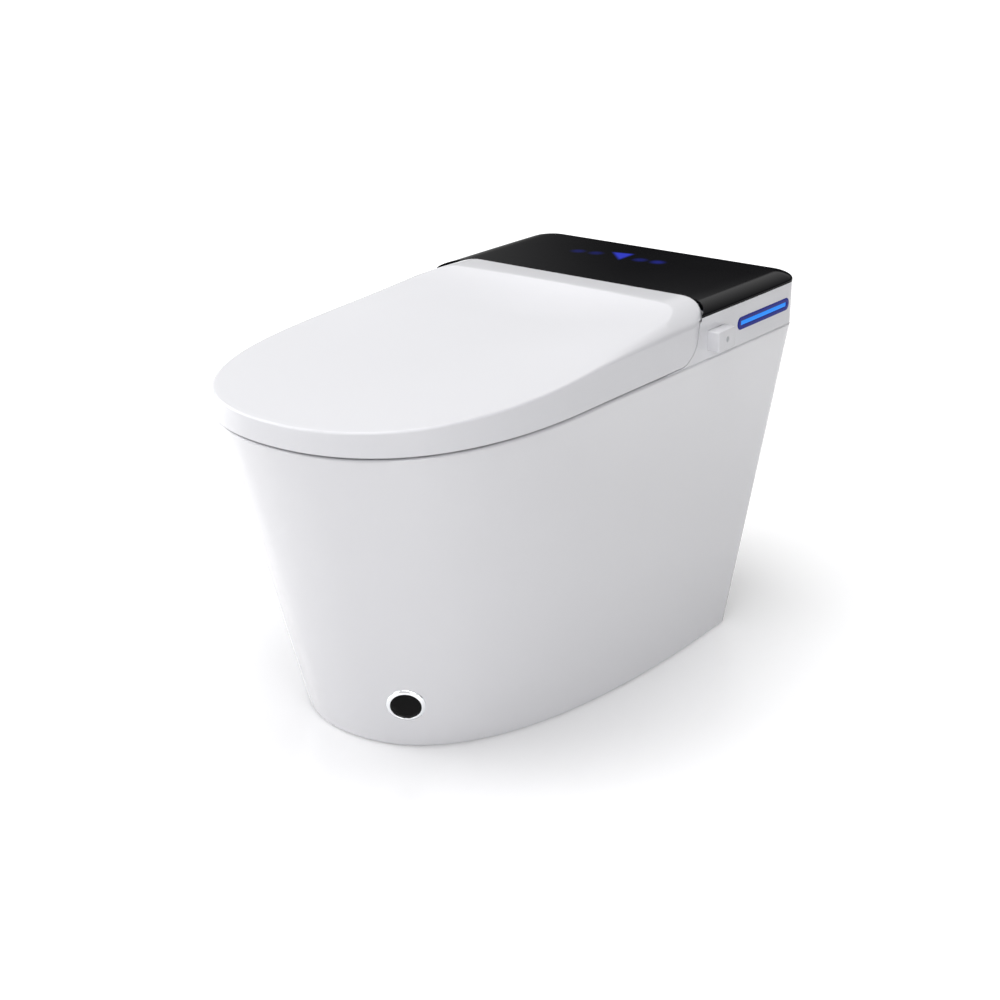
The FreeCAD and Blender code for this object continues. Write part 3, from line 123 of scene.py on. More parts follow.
@dataclass(frozen=True)
class Outline:
    """Plan outline: straight rear, round rear corners, eased sides, rounded nose (mm)."""

    half_mid: float
    half_rear: float
    mid_y: float
    nose: float
    fullness: float
    rear_y: float
    corner: float

    def inset(self, d: float, rear: float | None = None) -> "Outline":
        """Outline moved in.

        Args:
            d: distance in mm at the sides and the nose, negative to grow.
            rear: distance at the rear, the same as d when it is left out.

        Returns:
            The new outline.
        """
        back = d if rear is None else rear
        return Outline(self.half_mid - d, self.half_rear - d, self.mid_y, self.nose - d,
                       self.fullness, self.rear_y - back, max(self.corner - back, 0.5))

    def half(self) -> list[Plan]:
        """Points of the right side, from the rear centre to the front tip."""
        straight = self.half_rear - self.corner
        side_y = self.rear_y - self.corner
        ease = (side_y - self.mid_y) / 3
        pts = [(straight * k / REAR_STEPS, self.rear_y) for k in range(REAR_STEPS)]
        for k in range(CORNER_STEPS):
            a = pi / 2 * (1 - k / CORNER_STEPS)
            pts.append((straight + self.corner * cos(a), side_y + self.corner * sin(a)))
        side = [(self.half_rear, side_y), (self.half_rear, side_y - ease),
                (self.half_mid, self.mid_y + ease), (self.half_mid, self.mid_y)]
        pts += [bezier(side, k / SIDE_STEPS) for k in range(SIDE_STEPS)]
        pts += [bezier(self.nose_poles(), k / NOSE_STEPS) for k in range(NOSE_STEPS + 1)]
        return pts

    def nose_poles(self) -> list[Plan]:
        """Control points of the right side of the nose."""
        tip = self.mid_y - self.nose
        return [(self.half_mid, self.mid_y),
                (self.half_mid, self.mid_y - self.fullness * self.nose),
                (self.fullness * self.half_mid, tip), (0, tip)]

    def loop(self) -> list[Plan]:
        """Closed loop of points, clockwise from the rear centre by way of +X."""
        right = self.half()
        return right + [(-x, y) for x, y in reversed(right[1:-1])]


def smooth_track(stations: list[Plan]) -> Callable[[float], float]:
    """Smooth curve through stations.

    Args:
        stations: (place, value) pairs in rising order of place.

    Returns:
        A function that gives the value at a place.
    """
    xs, ys = [p[0] for p in stations], [p[1] for p in stations]
    n = len(xs)
    gap = [b - a for a, b in zip(xs, xs[1:])]
    rise = [(b - a) / h for a, b, h in zip(ys, ys[1:], gap)]
    upper, bend = [0.0] * n, [0.0] * n
    for i in range(1, n - 1):
        pivot = 2 * (gap[i - 1] + gap[i]) - gap[i - 1] * upper[i - 1]
        upper[i] = gap[i] / pivot
        bend[i] = (6 * (rise[i] - rise[i - 1]) - gap[i - 1] * bend[i - 1]) / pivot
    for i in range(n - 2, 0, -1):
        bend[i] -= upper[i] * bend[i + 1]

    def value(x: float) -> float:
        """Value of the curve.

        Args:
            x: the place.

        Returns:
            The value there.
        """
        i = max(0, min(n - 2, sum(1 for v in xs[1:-1] if v <= x)))
        h, a, b = gap[i], xs[i + 1] - x, x - xs[i]
        return ((bend[i] * a ** 3 + bend[i + 1] * b ** 3) / (6 * h)
                + (ys[i] / h - bend[i] * h / 6) * a + (ys[i + 1] / h - bend[i + 1] * h / 6) * b)
    return value


REAR_Y = 295.0
FRONT_Y = REAR_Y - 741.0
NOSE_Y = FRONT_Y + 270.0
DECK_Z = 365.0
HINGE_Y, HINGE_Z = 50.0, DECK_Z + 49.0
DECK = Outline(191.0, 197.0, NOSE_Y, 270.0, 0.658, REAR_Y, 34.0)
FOOT = Outline(192.4, 192.4, 109.0, 109.0 - (FRONT_Y + 98.5), 0.671, REAR_Y - 139.5, 20.0)
LID = Outline(192.0, 194.0, NOSE_Y, 271.0, 0.658, HINGE_Y + 38.0, 46.0)
SEAT = Outline(184.5, 184.5, NOSE_Y, 263.5, 0.658, HINGE_Y - 44.0, 40.0)


# ---- modelling bench

MERGE, FINE_MERGE = 0.00002, 0.000005
PARALLEL = 0.99
LUG_RADIUS, PIN_HOLE = 11.0, 4.05


class Bench:
    """Modelling steps that every sub-assembly uses."""

    @staticmethod
    def clear() -> None:
        """Deselect everything."""
        bpy.ops.object.select_all(action="DESELECT")

    @staticmethod
    def pick(piece: Piece) -> None:
        """Make one piece the only selected and active one.

        Args:
            piece: the piece.
        """
        Bench.clear()
        piece.select_set(True)
        bpy.context.view_layer.objects.active = piece

    @staticmethod
    @contextmanager
    def editing(whole: bool = True) -> Iterator[None]:
        """Edit mode for a few steps.

        Args:
            whole: select the whole mesh first.

        Returns:
            A context for a with statement.
        """
        bpy.ops.object.mode_set(mode="EDIT")
        if whole:
            bpy.ops.mesh.select_all(action="SELECT")
        yield
        bpy.ops.object.mode_set(mode="OBJECT")

    @staticmethod
    def face_out(merge: float = 0.0) -> None:
        """Turn all faces outward.

        Args:
            merge: join points closer than this first, in metres.
        """
        bpy.ops.mesh.select_all(action="SELECT")
        if merge:
            bpy.ops.mesh.remove_doubles(threshold=merge)
        bpy.ops.mesh.normals_make_consistent(inside=False)

    @staticmethod
    def named(label: str, points: list[Point] | None = None) -> Piece:
        """Name the primitive just added.

        Args:
            label: name of the piece.
            points: new places of its vertices in mm, in their order.

        Returns:
            The piece.
        """
        piece = bpy.context.object
        piece.name = piece.data.name = label
        if points:
            piece.data.vertices.foreach_set("co", [c * MM for p in points for c in p])
        return piece

    @staticmethod
    def skin(label: str, rows: Rows) -> Piece:
        """Grid primitive laid on rows of points.

        Args:
            label: name of the piece.
            rows: equal rows of points in mm, each a closed loop.

        Returns:
            The merged skin.
        """
        points = [p for r in rows for p in r + r[:1]]
        Bench.clear()
        bpy.ops.mesh.primitive_grid_add(x_subdivisions=len(rows[0]),
                                        y_subdivisions=len(rows) - 1, size=1)
        piece = Bench.named(label, points)
        with Bench.editing():
            Bench.face_out(MERGE)
        return piece

    @staticmethod
    def modify(piece: Piece, kind: str, **settings: object) -> None:
        """Add a modifier and apply it.

        Args:
            piece: the piece.
            kind: type of the modifier.
            settings: its properties.
        """
        Bench.pick(piece)
        mod = piece.modifiers.new(kind.lower(), kind)
        for key, value in settings.items():
            setattr(mod, key, value)
        bpy.ops.object.modifier_apply(modifier=mod.name)

    @staticmethod
    def bevel(piece: Piece, width: float, segments: int) -> None:
        """Round the sharp edges of a piece by a width in mm."""
        Bench.modify(piece, "BEVEL", width=width * MM, segments=segments,
                     limit_method="ANGLE", angle_limit=radians(50))

    @staticmethod
    def cut(piece: Piece, tool: Piece, how: str = "DIFFERENCE") -> None:
        """Boolean a piece with a tool body and remove the tool."""
        Bench.modify(piece, "BOOLEAN", operation=how, solver="EXACT", object=tool)
        bpy.data.objects.remove(tool, do_unlink=True)

    @staticmethod
    def smooth(piece: Piece, degrees: float = 35.0) -> Piece:
        """Smooth shading with hard edges above an angle.

        Args:
            piece: the piece.
            degrees: the angle.

        Returns:
            The same piece.
        """
        Bench.pick(piece)
        bpy.ops.object.shade_smooth_by_angle(angle=radians(degrees), keep_sharp_edges=True)
        return piece

    @staticmethod
    def settle(piece: Piece) -> Piece:
        """Put the piece's place into its mesh.

        Args:
            piece: the piece.

        Returns:
            The same piece.
        """
        Bench.pick(piece)
        bpy.ops.object.transform_apply(location=True, rotation=True, scale=True)
        return piece

    @staticmethod
    def block(label: str, lo: Point, hi: Point, radius: float, steps: int,
              axis: Point | None = None) -> Piece:
        """Box between two corners with rounded edges.

        Args:
            label: name of the piece.
            lo: lowest corner in mm.
            hi: highest corner in mm.
            radius: edge radius in mm.
            steps: segments of the rounding.
            axis: round only the edges along this direction.

        Returns:
            The box.
        """
        Bench.clear()
        mid = [(a + b) / 2 * MM for a, b in zip(lo, hi)]
        bpy.ops.mesh.primitive_cube_add(size=1, location=mid)
        piece = Bench.named(label)
        piece.scale = [(b - a) * MM for a, b in zip(lo, hi)]
        Bench.settle(piece)
        with Bench.editing(whole=False):
            for e in bmesh.from_edit_mesh(piece.data).edges:
                d = (e.verts[1].co - e.verts[0].co).normalized()
                e.select = axis is None or abs(d.dot(Vector(axis))) > PARALLEL
            bmesh.update_edit_mesh(piece.data)
            bpy.ops.mesh.bevel(offset=radius * MM, segments=steps, affect="EDGES",
                               clamp_overlap=True)
        return piece

    @staticmethod
    def rod(label: str, start: Point, length: float, radius: float, sides: int = 64) -> Piece:
        """Cylinder that lies across the object.

        Args:
            label: name of the piece.
            start: centre of its left end in mm.
            length: length in mm.
            radius: radius in mm.
            sides: sides of its outline.

        Returns:
            The cylinder.
        """
        Bench.clear()
        way = Vector(ACROSS)
        bpy.ops.mesh.primitive_cylinder_add(
            vertices=sides, radius=radius * MM, depth=length * MM,
            location=(Vector(start) + way * length / 2) * MM,
            rotation=way.to_track_quat("Z", "Y").to_euler())
        return Bench.settle(Bench.named(label))

    @staticmethod
    def profile(label: str, outline: list[Point], travel: Point) -> Piece:
        """Body of a flat outline drawn out along a direction, in mm.

        Args:
            label: name of the piece.
            outline: corner points of the flat face.
            travel: the way that the face is drawn out.

        Returns:
            The closed body.
        """
        Bench.clear()
        bpy.ops.mesh.primitive_circle_add(vertices=len(outline), radius=0.1, fill_type="NGON")
        piece = Bench.named(label, outline)
        with Bench.editing():
            bpy.ops.mesh.extrude_region_move(
                TRANSFORM_OT_translate={"value": [c * MM for c in travel]})
            Bench.face_out()
        return piece

    @staticmethod
    def spun(label: str, centre: Vector, axis: Vector, section: list[Plan], sides: int = 96
             ) -> Piece:
        """Ring or disc spun from a closed section.

        Args:
            label: name of the piece.
            centre: point on the axis in mm.
            axis: direction of the axis.
            section: (radius, height) corners of the section in mm.
            sides: steps of the turn.

        Returns:
            The closed body.
        """
        n = axis.normalized()
        u = n.orthogonal().normalized()
        Bench.clear()
        bpy.ops.mesh.primitive_circle_add(vertices=len(section), radius=0.1,
                                          fill_type="NOTHING")
        piece = Bench.named(label, [tuple(centre + u * r + n * h) for r, h in section])
        with Bench.editing():
            bpy.ops.mesh.spin(steps=sides, angle=2 * pi, center=centre * MM, axis=n)
            Bench.face_out(MERGE)
        return piece

    @staticmethod
    def copied(node: str, label: str) -> Piece:
        """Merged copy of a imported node's mesh, for smooth shading.

        Args:
            node: name of the node.
            label: name of the copy.

        Returns:
            The copy.
        """
        piece = bpy.data.objects.new(label, frame["nodes"][node].data.copy())
        piece.data.name = label
        bpy.context.collection.objects.link(piece)
        Bench.pick(piece)
        with Bench.editing():
            bpy.ops.mesh.remove_doubles(threshold=FINE_MERGE)
        return piece

    @staticmethod
    def lugs(label: str, places: Plan, web: Callable[[float, float], Piece],
             rounding: float = 0.0) -> Piece:
        """Pair of lugs on the hinge line, each a bored barrel with its web.

        Args:
            label: name of the pair.
            places: least and greatest distance from the middle in mm.
            web: makes the web between two places across.
            rounding: rounding of the sharp edges in mm.

        Returns:
            Both lugs as one piece.
        """
        made = []
        for side in Side:
            a, b = sorted(side.value * x for x in places)
            lug = Bench.rod("lug", (a, HINGE_Y, HINGE_Z), b - a, LUG_RADIUS)
            Bench.cut(lug, web(a, b), "UNION")
            Bench.cut(lug, Bench.rod("hole", (a - 1, HINGE_Y, HINGE_Z), b - a + 2, PIN_HOLE))
            if rounding:
                Bench.bevel(lug, rounding, 2)
            made.append(lug)
        Bench.pick(made[0])
        made[1].select_set(True)
        bpy.ops.object.join()
        return Bench.smooth(Bench.named(label))

    @staticmethod
    def dress(piece: Piece, body: Body, finish: "Finish", *nodes: str) -> None:
        """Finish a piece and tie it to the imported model.

        Args:
            piece: the piece.
            body: moving body that it rides on.
            finish: its surface.
            nodes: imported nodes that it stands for.
        """
        piece.data.materials.clear()
        piece.data.materials.append(finish.material())
        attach(piece, body.value)
        if nodes:
            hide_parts(*nodes)
        log.info("%s: %d faces on %s", piece.name, len(piece.data.polygons), body.value)


# ---- finishes

SHADER = "Principled BSDF"
GRAIN_SCALE = 1800.0
ROUGHNESS_DRIFT = 0.3
COAT_ROUGHNESS = 0.03


class Nodes:
    """Short way to write one node tree."""

    def __init__(self, tree: Tree) -> None:
        """Keep the tree."""
        self.tree = tree

    def put(self, node: bpy.types.Node, inputs: dict[str | int, object]) -> bpy.types.Node:
        """Fill inputs of a node.

        Args:
            node: the node.
            inputs: sockets to link or values to set, by name or number.

        Returns:
            The same node.
        """
        for key, value in inputs.items():
            if isinstance(value, Socket):
                self.tree.links.new(value, node.inputs[key])
            else:
                node.inputs[key].default_value = value
        return node

    def add(self, kind: str, inputs: dict[str | int, object] | None = None,
            **settings: object) -> bpy.types.Node:
        """Add a shader node.

        Args:
            kind: its type, without the prefix.
            inputs: values or sockets by the input's name or number.
            settings: properties of the node, set before the inputs.

        Returns:
            The node.
        """
        node = self.tree.nodes.new("ShaderNode" + kind)
        for key, value in settings.items():
            setattr(node, key, value)
        return self.put(node, inputs or {})

    def math(self, operation: str, *values: Socket | float) -> Socket:
        """Result of a math node."""
        return self.add("Math", dict(enumerate(values)), operation=operation).outputs[0]

    def vector(self, operation: str, *values: Socket | Point, out: str = "Vector") -> Socket:
        """Result of a vector math node."""
        return self.add("VectorMath", dict(enumerate(values)), operation=operation).outputs[out]

    def scaled(self, vector: Socket | Point, factor: Socket) -> Socket:
        """Vector or colour times a number."""
        return self.add("VectorMath", {0: vector, "Scale": factor},
                        operation="SCALE").outputs[0]

    def mix(self, factor: Socket, a: Socket | float, b: Socket | float) -> Socket:
        """Blend of two numbers."""
        return self.add("Mix", {"Factor": factor, "A": a, "B": b},
                        data_type="FLOAT").outputs[0]

    def fade(self, value: Socket, span: Plan, low: float, high: float) -> Socket:
        """Smooth change from one level to another over a span of a value."""
        ends = {"From Min": span[0], "From Max": span[1], "To Min": low, "To Max": high}
        return self.add("MapRange", {"Value": value, **ends},
                        interpolation_type="SMOOTHSTEP").outputs[0]

    def coord(self, kind: str = "Object") -> Socket:
        """Coordinates of the shaded point."""
        return self.add("TexCoord").outputs[kind]

    def noise(self, scale: Socket | float, detail: float) -> Socket:
        """Noise over the object's own coordinates."""
        return self.add("TexNoise", {"Vector": self.coord(), "Scale": scale,
                                     "Detail": detail}).outputs["Fac"]

    def reach(self, centre: Plan, half: Plan) -> Socket:
        """Distance from a centre in plan, counted in half sizes.

        Args:
            centre: place in mm.
            half: half sizes across and along in mm.

        Returns:
            The distance, 1 on the ellipse of the half sizes.
        """
        moved = self.vector("ADD", self.coord(), (-centre[0] * MM, -centre[1] * MM, 0))
        wide = self.vector("MULTIPLY", moved, (1 / (half[0] * MM), 1 / (half[1] * MM), 0))
        return self.vector("LENGTH", wide, out="Value")


class Effects:
    """Shader node groups that several materials share."""

    @staticmethod
    def group(label: str, inputs: tuple[str, ...], outputs: tuple[str, ...],
              fill: Callable[[Nodes, bpy.types.NodeOutputs], dict[str, Socket]]) -> Tree:
        """Node group with named sockets, built once.

        Args:
            label: name of the group.
            inputs: names of the inputs; "Colour" is a colour and the rest are floats.
            outputs: names of the outputs, by the same rule.
            fill: makes the nodes and gives the socket of each output.

        Returns:
            The group.
        """
        found = bpy.data.node_groups.get(label)
        if found:
            return found
        tree = bpy.data.node_groups.new(label, "ShaderNodeTree")
        for way, keys in (("INPUT", inputs), ("OUTPUT", outputs)):
            for key in keys:
                kind = "NodeSocketColor" if key == "Colour" else "NodeSocketFloat"
                tree.interface.new_socket(key, in_out=way, socket_type=kind)
        nodes = Nodes(tree)
        given = tree.nodes.new("NodeGroupInput").outputs
        nodes.put(tree.nodes.new("NodeGroupOutput"), fill(nodes, given))
        return tree

    @staticmethod
    def tone() -> Tree:
        """Slow drift of colour and roughness, as fired glaze and moulded parts show."""
        def fill(n: Nodes, given: bpy.types.NodeOutputs) -> dict[str, Socket]:
            """Nodes between the group's two ends.

            Args:
                n: helper of the group's tree.
                given: sockets of the inputs.

            Returns:
                Sockets of the outputs.
            """
            centred = n.math("SUBTRACT", n.noise(given["Scale"], 3.0), 0.5)
            level = n.math("MULTIPLY_ADD", centred, given["Amount"], 1.0)
            rough = n.math("MULTIPLY_ADD", centred, given["Spread"], given["Roughness"])
            return {"Colour": n.scaled(given["Colour"], level), "Roughness": rough}
        return Effects.group("surface_tone", ("Colour", "Scale", "Amount", "Roughness", "Spread"),
                             ("Colour", "Roughness"), fill)

    @staticmethod
    def peel() -> Tree:
        """Fine unevenness: the ripple of glaze or the grain of moulded plastic."""
        def fill(n: Nodes, given: bpy.types.NodeOutputs) -> dict[str, Socket]:
            """Nodes between the group's two ends.

            Args:
                n: helper of the group's tree.
                given: sockets of the inputs.

            Returns:
                Sockets of the outputs.
            """
            wave, fine = n.noise(given["Scale"], 1.0), n.noise(GRAIN_SCALE, 2.0)
            return {"Height": n.math("MULTIPLY_ADD", fine, given["Grain"], wave)}
        return Effects.group("surface_peel", ("Scale", "Grain"), ("Height",), fill)


@dataclass(frozen=True)
class Finish:
    """A procedural material: colour drift, roughness drift and a fine relief."""

    slot: str
    label: str
    colour: Rgb
    roughness: float = 0.3
    metallic: float = 0.0
    coat: float = 0.0
    specular: float = 0.5
    drift: float = 0.03
    drift_scale: float = 6.0
    ripple: float = 60.0
    grain: float = 0.0
    relief: float = 0.02
    glow: Rgb | None = None
    strength: float = 0.0

    def material(self) -> bpy.types.Material:
        """The finish as a material, built once."""
        found = bpy.data.materials.get(self.label)
        if found:
            return found
        made = bpy.data.materials.new(self.label)
        made.use_nodes = True
        tree = Nodes(made.node_tree)
        tone = tree.add("Group", {
            "Colour": (*self.colour, 1.0), "Scale": self.drift_scale, "Amount": self.drift,
            "Roughness": self.roughness, "Spread": self.roughness * ROUGHNESS_DRIFT},
            node_tree=Effects.tone()).outputs
        peel = tree.add("Group", {"Scale": self.ripple, "Grain": self.grain},
                        node_tree=Effects.peel()).outputs
        bump = tree.add("Bump", {"Strength": self.relief, "Distance": MM,
                                 "Height": peel["Height"]}).outputs
        shader = tree.put(made.node_tree.nodes[SHADER], {
            "Metallic": self.metallic, "Specular IOR Level": self.specular,
            "Coat Weight": self.coat, "Coat Roughness": COAT_ROUGHNESS,
            "Base Color": tone["Colour"], "Roughness": tone["Roughness"],
            "Normal": bump["Normal"]})
        if self.glow:
            tree.put(shader, {"Emission Color": (*self.glow, 1.0),
                              "Emission Strength": self.strength})
        self.detail(tree, shader)
        return made

    def detail(self, tree: Nodes, shader: bpy.types.Node) -> None:
        """Extra nodes of a special finish; plain finishes have none."""


CERAMIC = Finish("ceramic", "white_glaze", (0.83, 0.828, 0.855), 0.07, coat=0.6, drift=0.02,
                 ripple=14.0, relief=0.03)
WHITE_SHELL = Finish("white_plastic", "white_shell", (0.82, 0.82, 0.85), 0.12,
                     specular=0.4, drift=0.012, drift_scale=4.0, ripple=30.0, relief=0.003)
SEAT_SHELL = Finish("seat_plastic", "seat_shell", (0.77, 0.77, 0.79), 0.28,
                    drift=0.015, grain=0.3, relief=0.02)
GREY_MOULDED = Finish("inner_plastic", "grey_moulded", (0.42, 0.43, 0.45), 0.5, drift=0.08,
                      drift_scale=20.0, grain=1.0, relief=0.12)
BLACK_MOULDED = Finish("dark_plastic", "black_moulded", (0.035, 0.036, 0.04), 0.45, drift=0.1,
                       drift_scale=25.0, grain=1.2, relief=0.15)
DARK_RUBBER = Finish("rubber_dark", "dark_rubber", (0.03, 0.03, 0.03), 0.7, drift=0.15,
                     drift_scale=30.0, grain=1.5, relief=0.2)
WHITE_RUBBER = Finish("rubber_white", "white_rubber", (0.75, 0.75, 0.76), 0.6, drift=0.05,
                      drift_scale=40.0, grain=1.0, relief=0.15)
CHROME = Finish("chrome", "chrome_ring", (0.86, 0.87, 0.89), 0.05, metallic=1.0, drift=0.02,
                ripple=25.0, relief=0.01)
STEEL = Finish("steel", "brushed_steel", (0.62, 0.63, 0.65), 0.24, metallic=1.0, drift=0.08,
               drift_scale=45.0, grain=0.8, relief=0.06)
BRASS = Finish("brass", "machined_brass", (0.60, 0.43, 0.17), 0.3, metallic=1.0, drift=0.12,
               drift_scale=30.0, grain=0.6, relief=0.06)
FOIL = Finish("heater_foil", "heater_foil", (0.66, 0.62, 0.55), 0.35, metallic=1.0, drift=0.12,
              drift_scale=50.0, ripple=220.0, relief=0.15)
BOARD = Finish("board_green", "board_green", (0.015, 0.11, 0.05), 0.35, coat=0.3, drift=0.2,
               drift_scale=90.0, grain=0.6, relief=0.06)
LIGHT_BLUE = Finish("blue_light", "lit_blue", (0.003, 0.03, 0.2), 0.3, specular=0.05, drift=0.1,
                    glow=(0.02, 0.30, 1.0), strength=0.85)
# Dark frame with a faint blue glow: painted light standing in for light from the lit core falling
# on the frame.
FRAME_BLUE_PAINTED_GLOW = Finish("blue_frame", "dark_blue_frame_painted_glow", (0.004, 0.006, 0.04), 0.3, specular=0.05,
                    glow=(0.014, 0.018, 0.2), strength=0.8)
INDICATOR = Finish("indicator_grey", "indicator_grey", (0.20, 0.21, 0.23), 0.35, specular=0.3,
                   drift=0.1, drift_scale=80.0)
LENS = Finish("black_gloss", "sensor_lens", (0.004, 0.004, 0.004), 0.1, specular=0.08,
              relief=0.004)


@dataclass(frozen=True)
class DisplayBlack(Finish):
    """Piano-black cover with a row of small lit symbols shining through it."""

    spots: tuple[tuple[float, float, float], ...] = (
        (-82.8, 209.6, 0.16), (-58.2, 213.9, 0.16), (7.9, 215.8, 0.22), (32.4, 218.6, 0.34))
    spot_size: Plan = (8.5, 8.5)
    spot_span: Plan = (0.2, 1.6)
    triangle: tuple[Plan, ...] = ((-44.5, 231.5), (-15.0, 238.5), (-14.0, 200.0))
    triangle_level: float = 0.95
    triangle_span: Plan = (-2.5, 4.5)
    colour_on: Rgb = (0.03, 0.045, 0.55)

    def detail(self, tree: Nodes, shader: bpy.types.Node) -> None:
        """Soft round glows and one triangle on the top of the cover.

        Args:
            tree: helper of the material's tree.
            shader: node that lights up.
        """
        total = self.shape(tree)
        for x, y, level in self.spots:
            away = tree.reach((x, y), self.spot_size)
            total = tree.math("ADD", total, tree.fade(away, self.spot_span, level, 0.0))
        tree.put(shader, {"Emission Color": tree.scaled(self.colour_on, total),
                          "Emission Strength": 1.0})

    def shape(self, tree: Nodes) -> Socket:
        """Glow of a triangle whose three edges fade softly.

        Args:
            tree: helper of the material's tree.

        Returns:
            The glow.
        """
        place, glow = tree.coord(), self.triangle_level
        for k in range(3):
            (ax, ay), (bx, by), (cx, cy) = (self.triangle[(k + j) % 3] for j in range(3))
            nx, ny = ay - by, bx - ax
            if nx * (cx - ax) + ny * (cy - ay) < 0:
                nx, ny = -nx, -ny
            size = hypot(nx, ny)
            reach = tree.vector("DOT_PRODUCT", place, (nx / size, ny / size, 0), out="Value")
            edge = (nx * ax + ny * ay) / size
            span = tuple((edge + soft) * MM for soft in self.triangle_span)
            glow = tree.math("MULTIPLY", glow, tree.fade(reach, span, 0.0, 1.0))
        return glow


PIANO_BLACK = DisplayBlack("black_gloss", "piano_black", (0.004, 0.004, 0.005), 0.09,
                           specular=0.04, drift=0.02, ripple=12.0, relief=0.004)


# ---- ceramic body

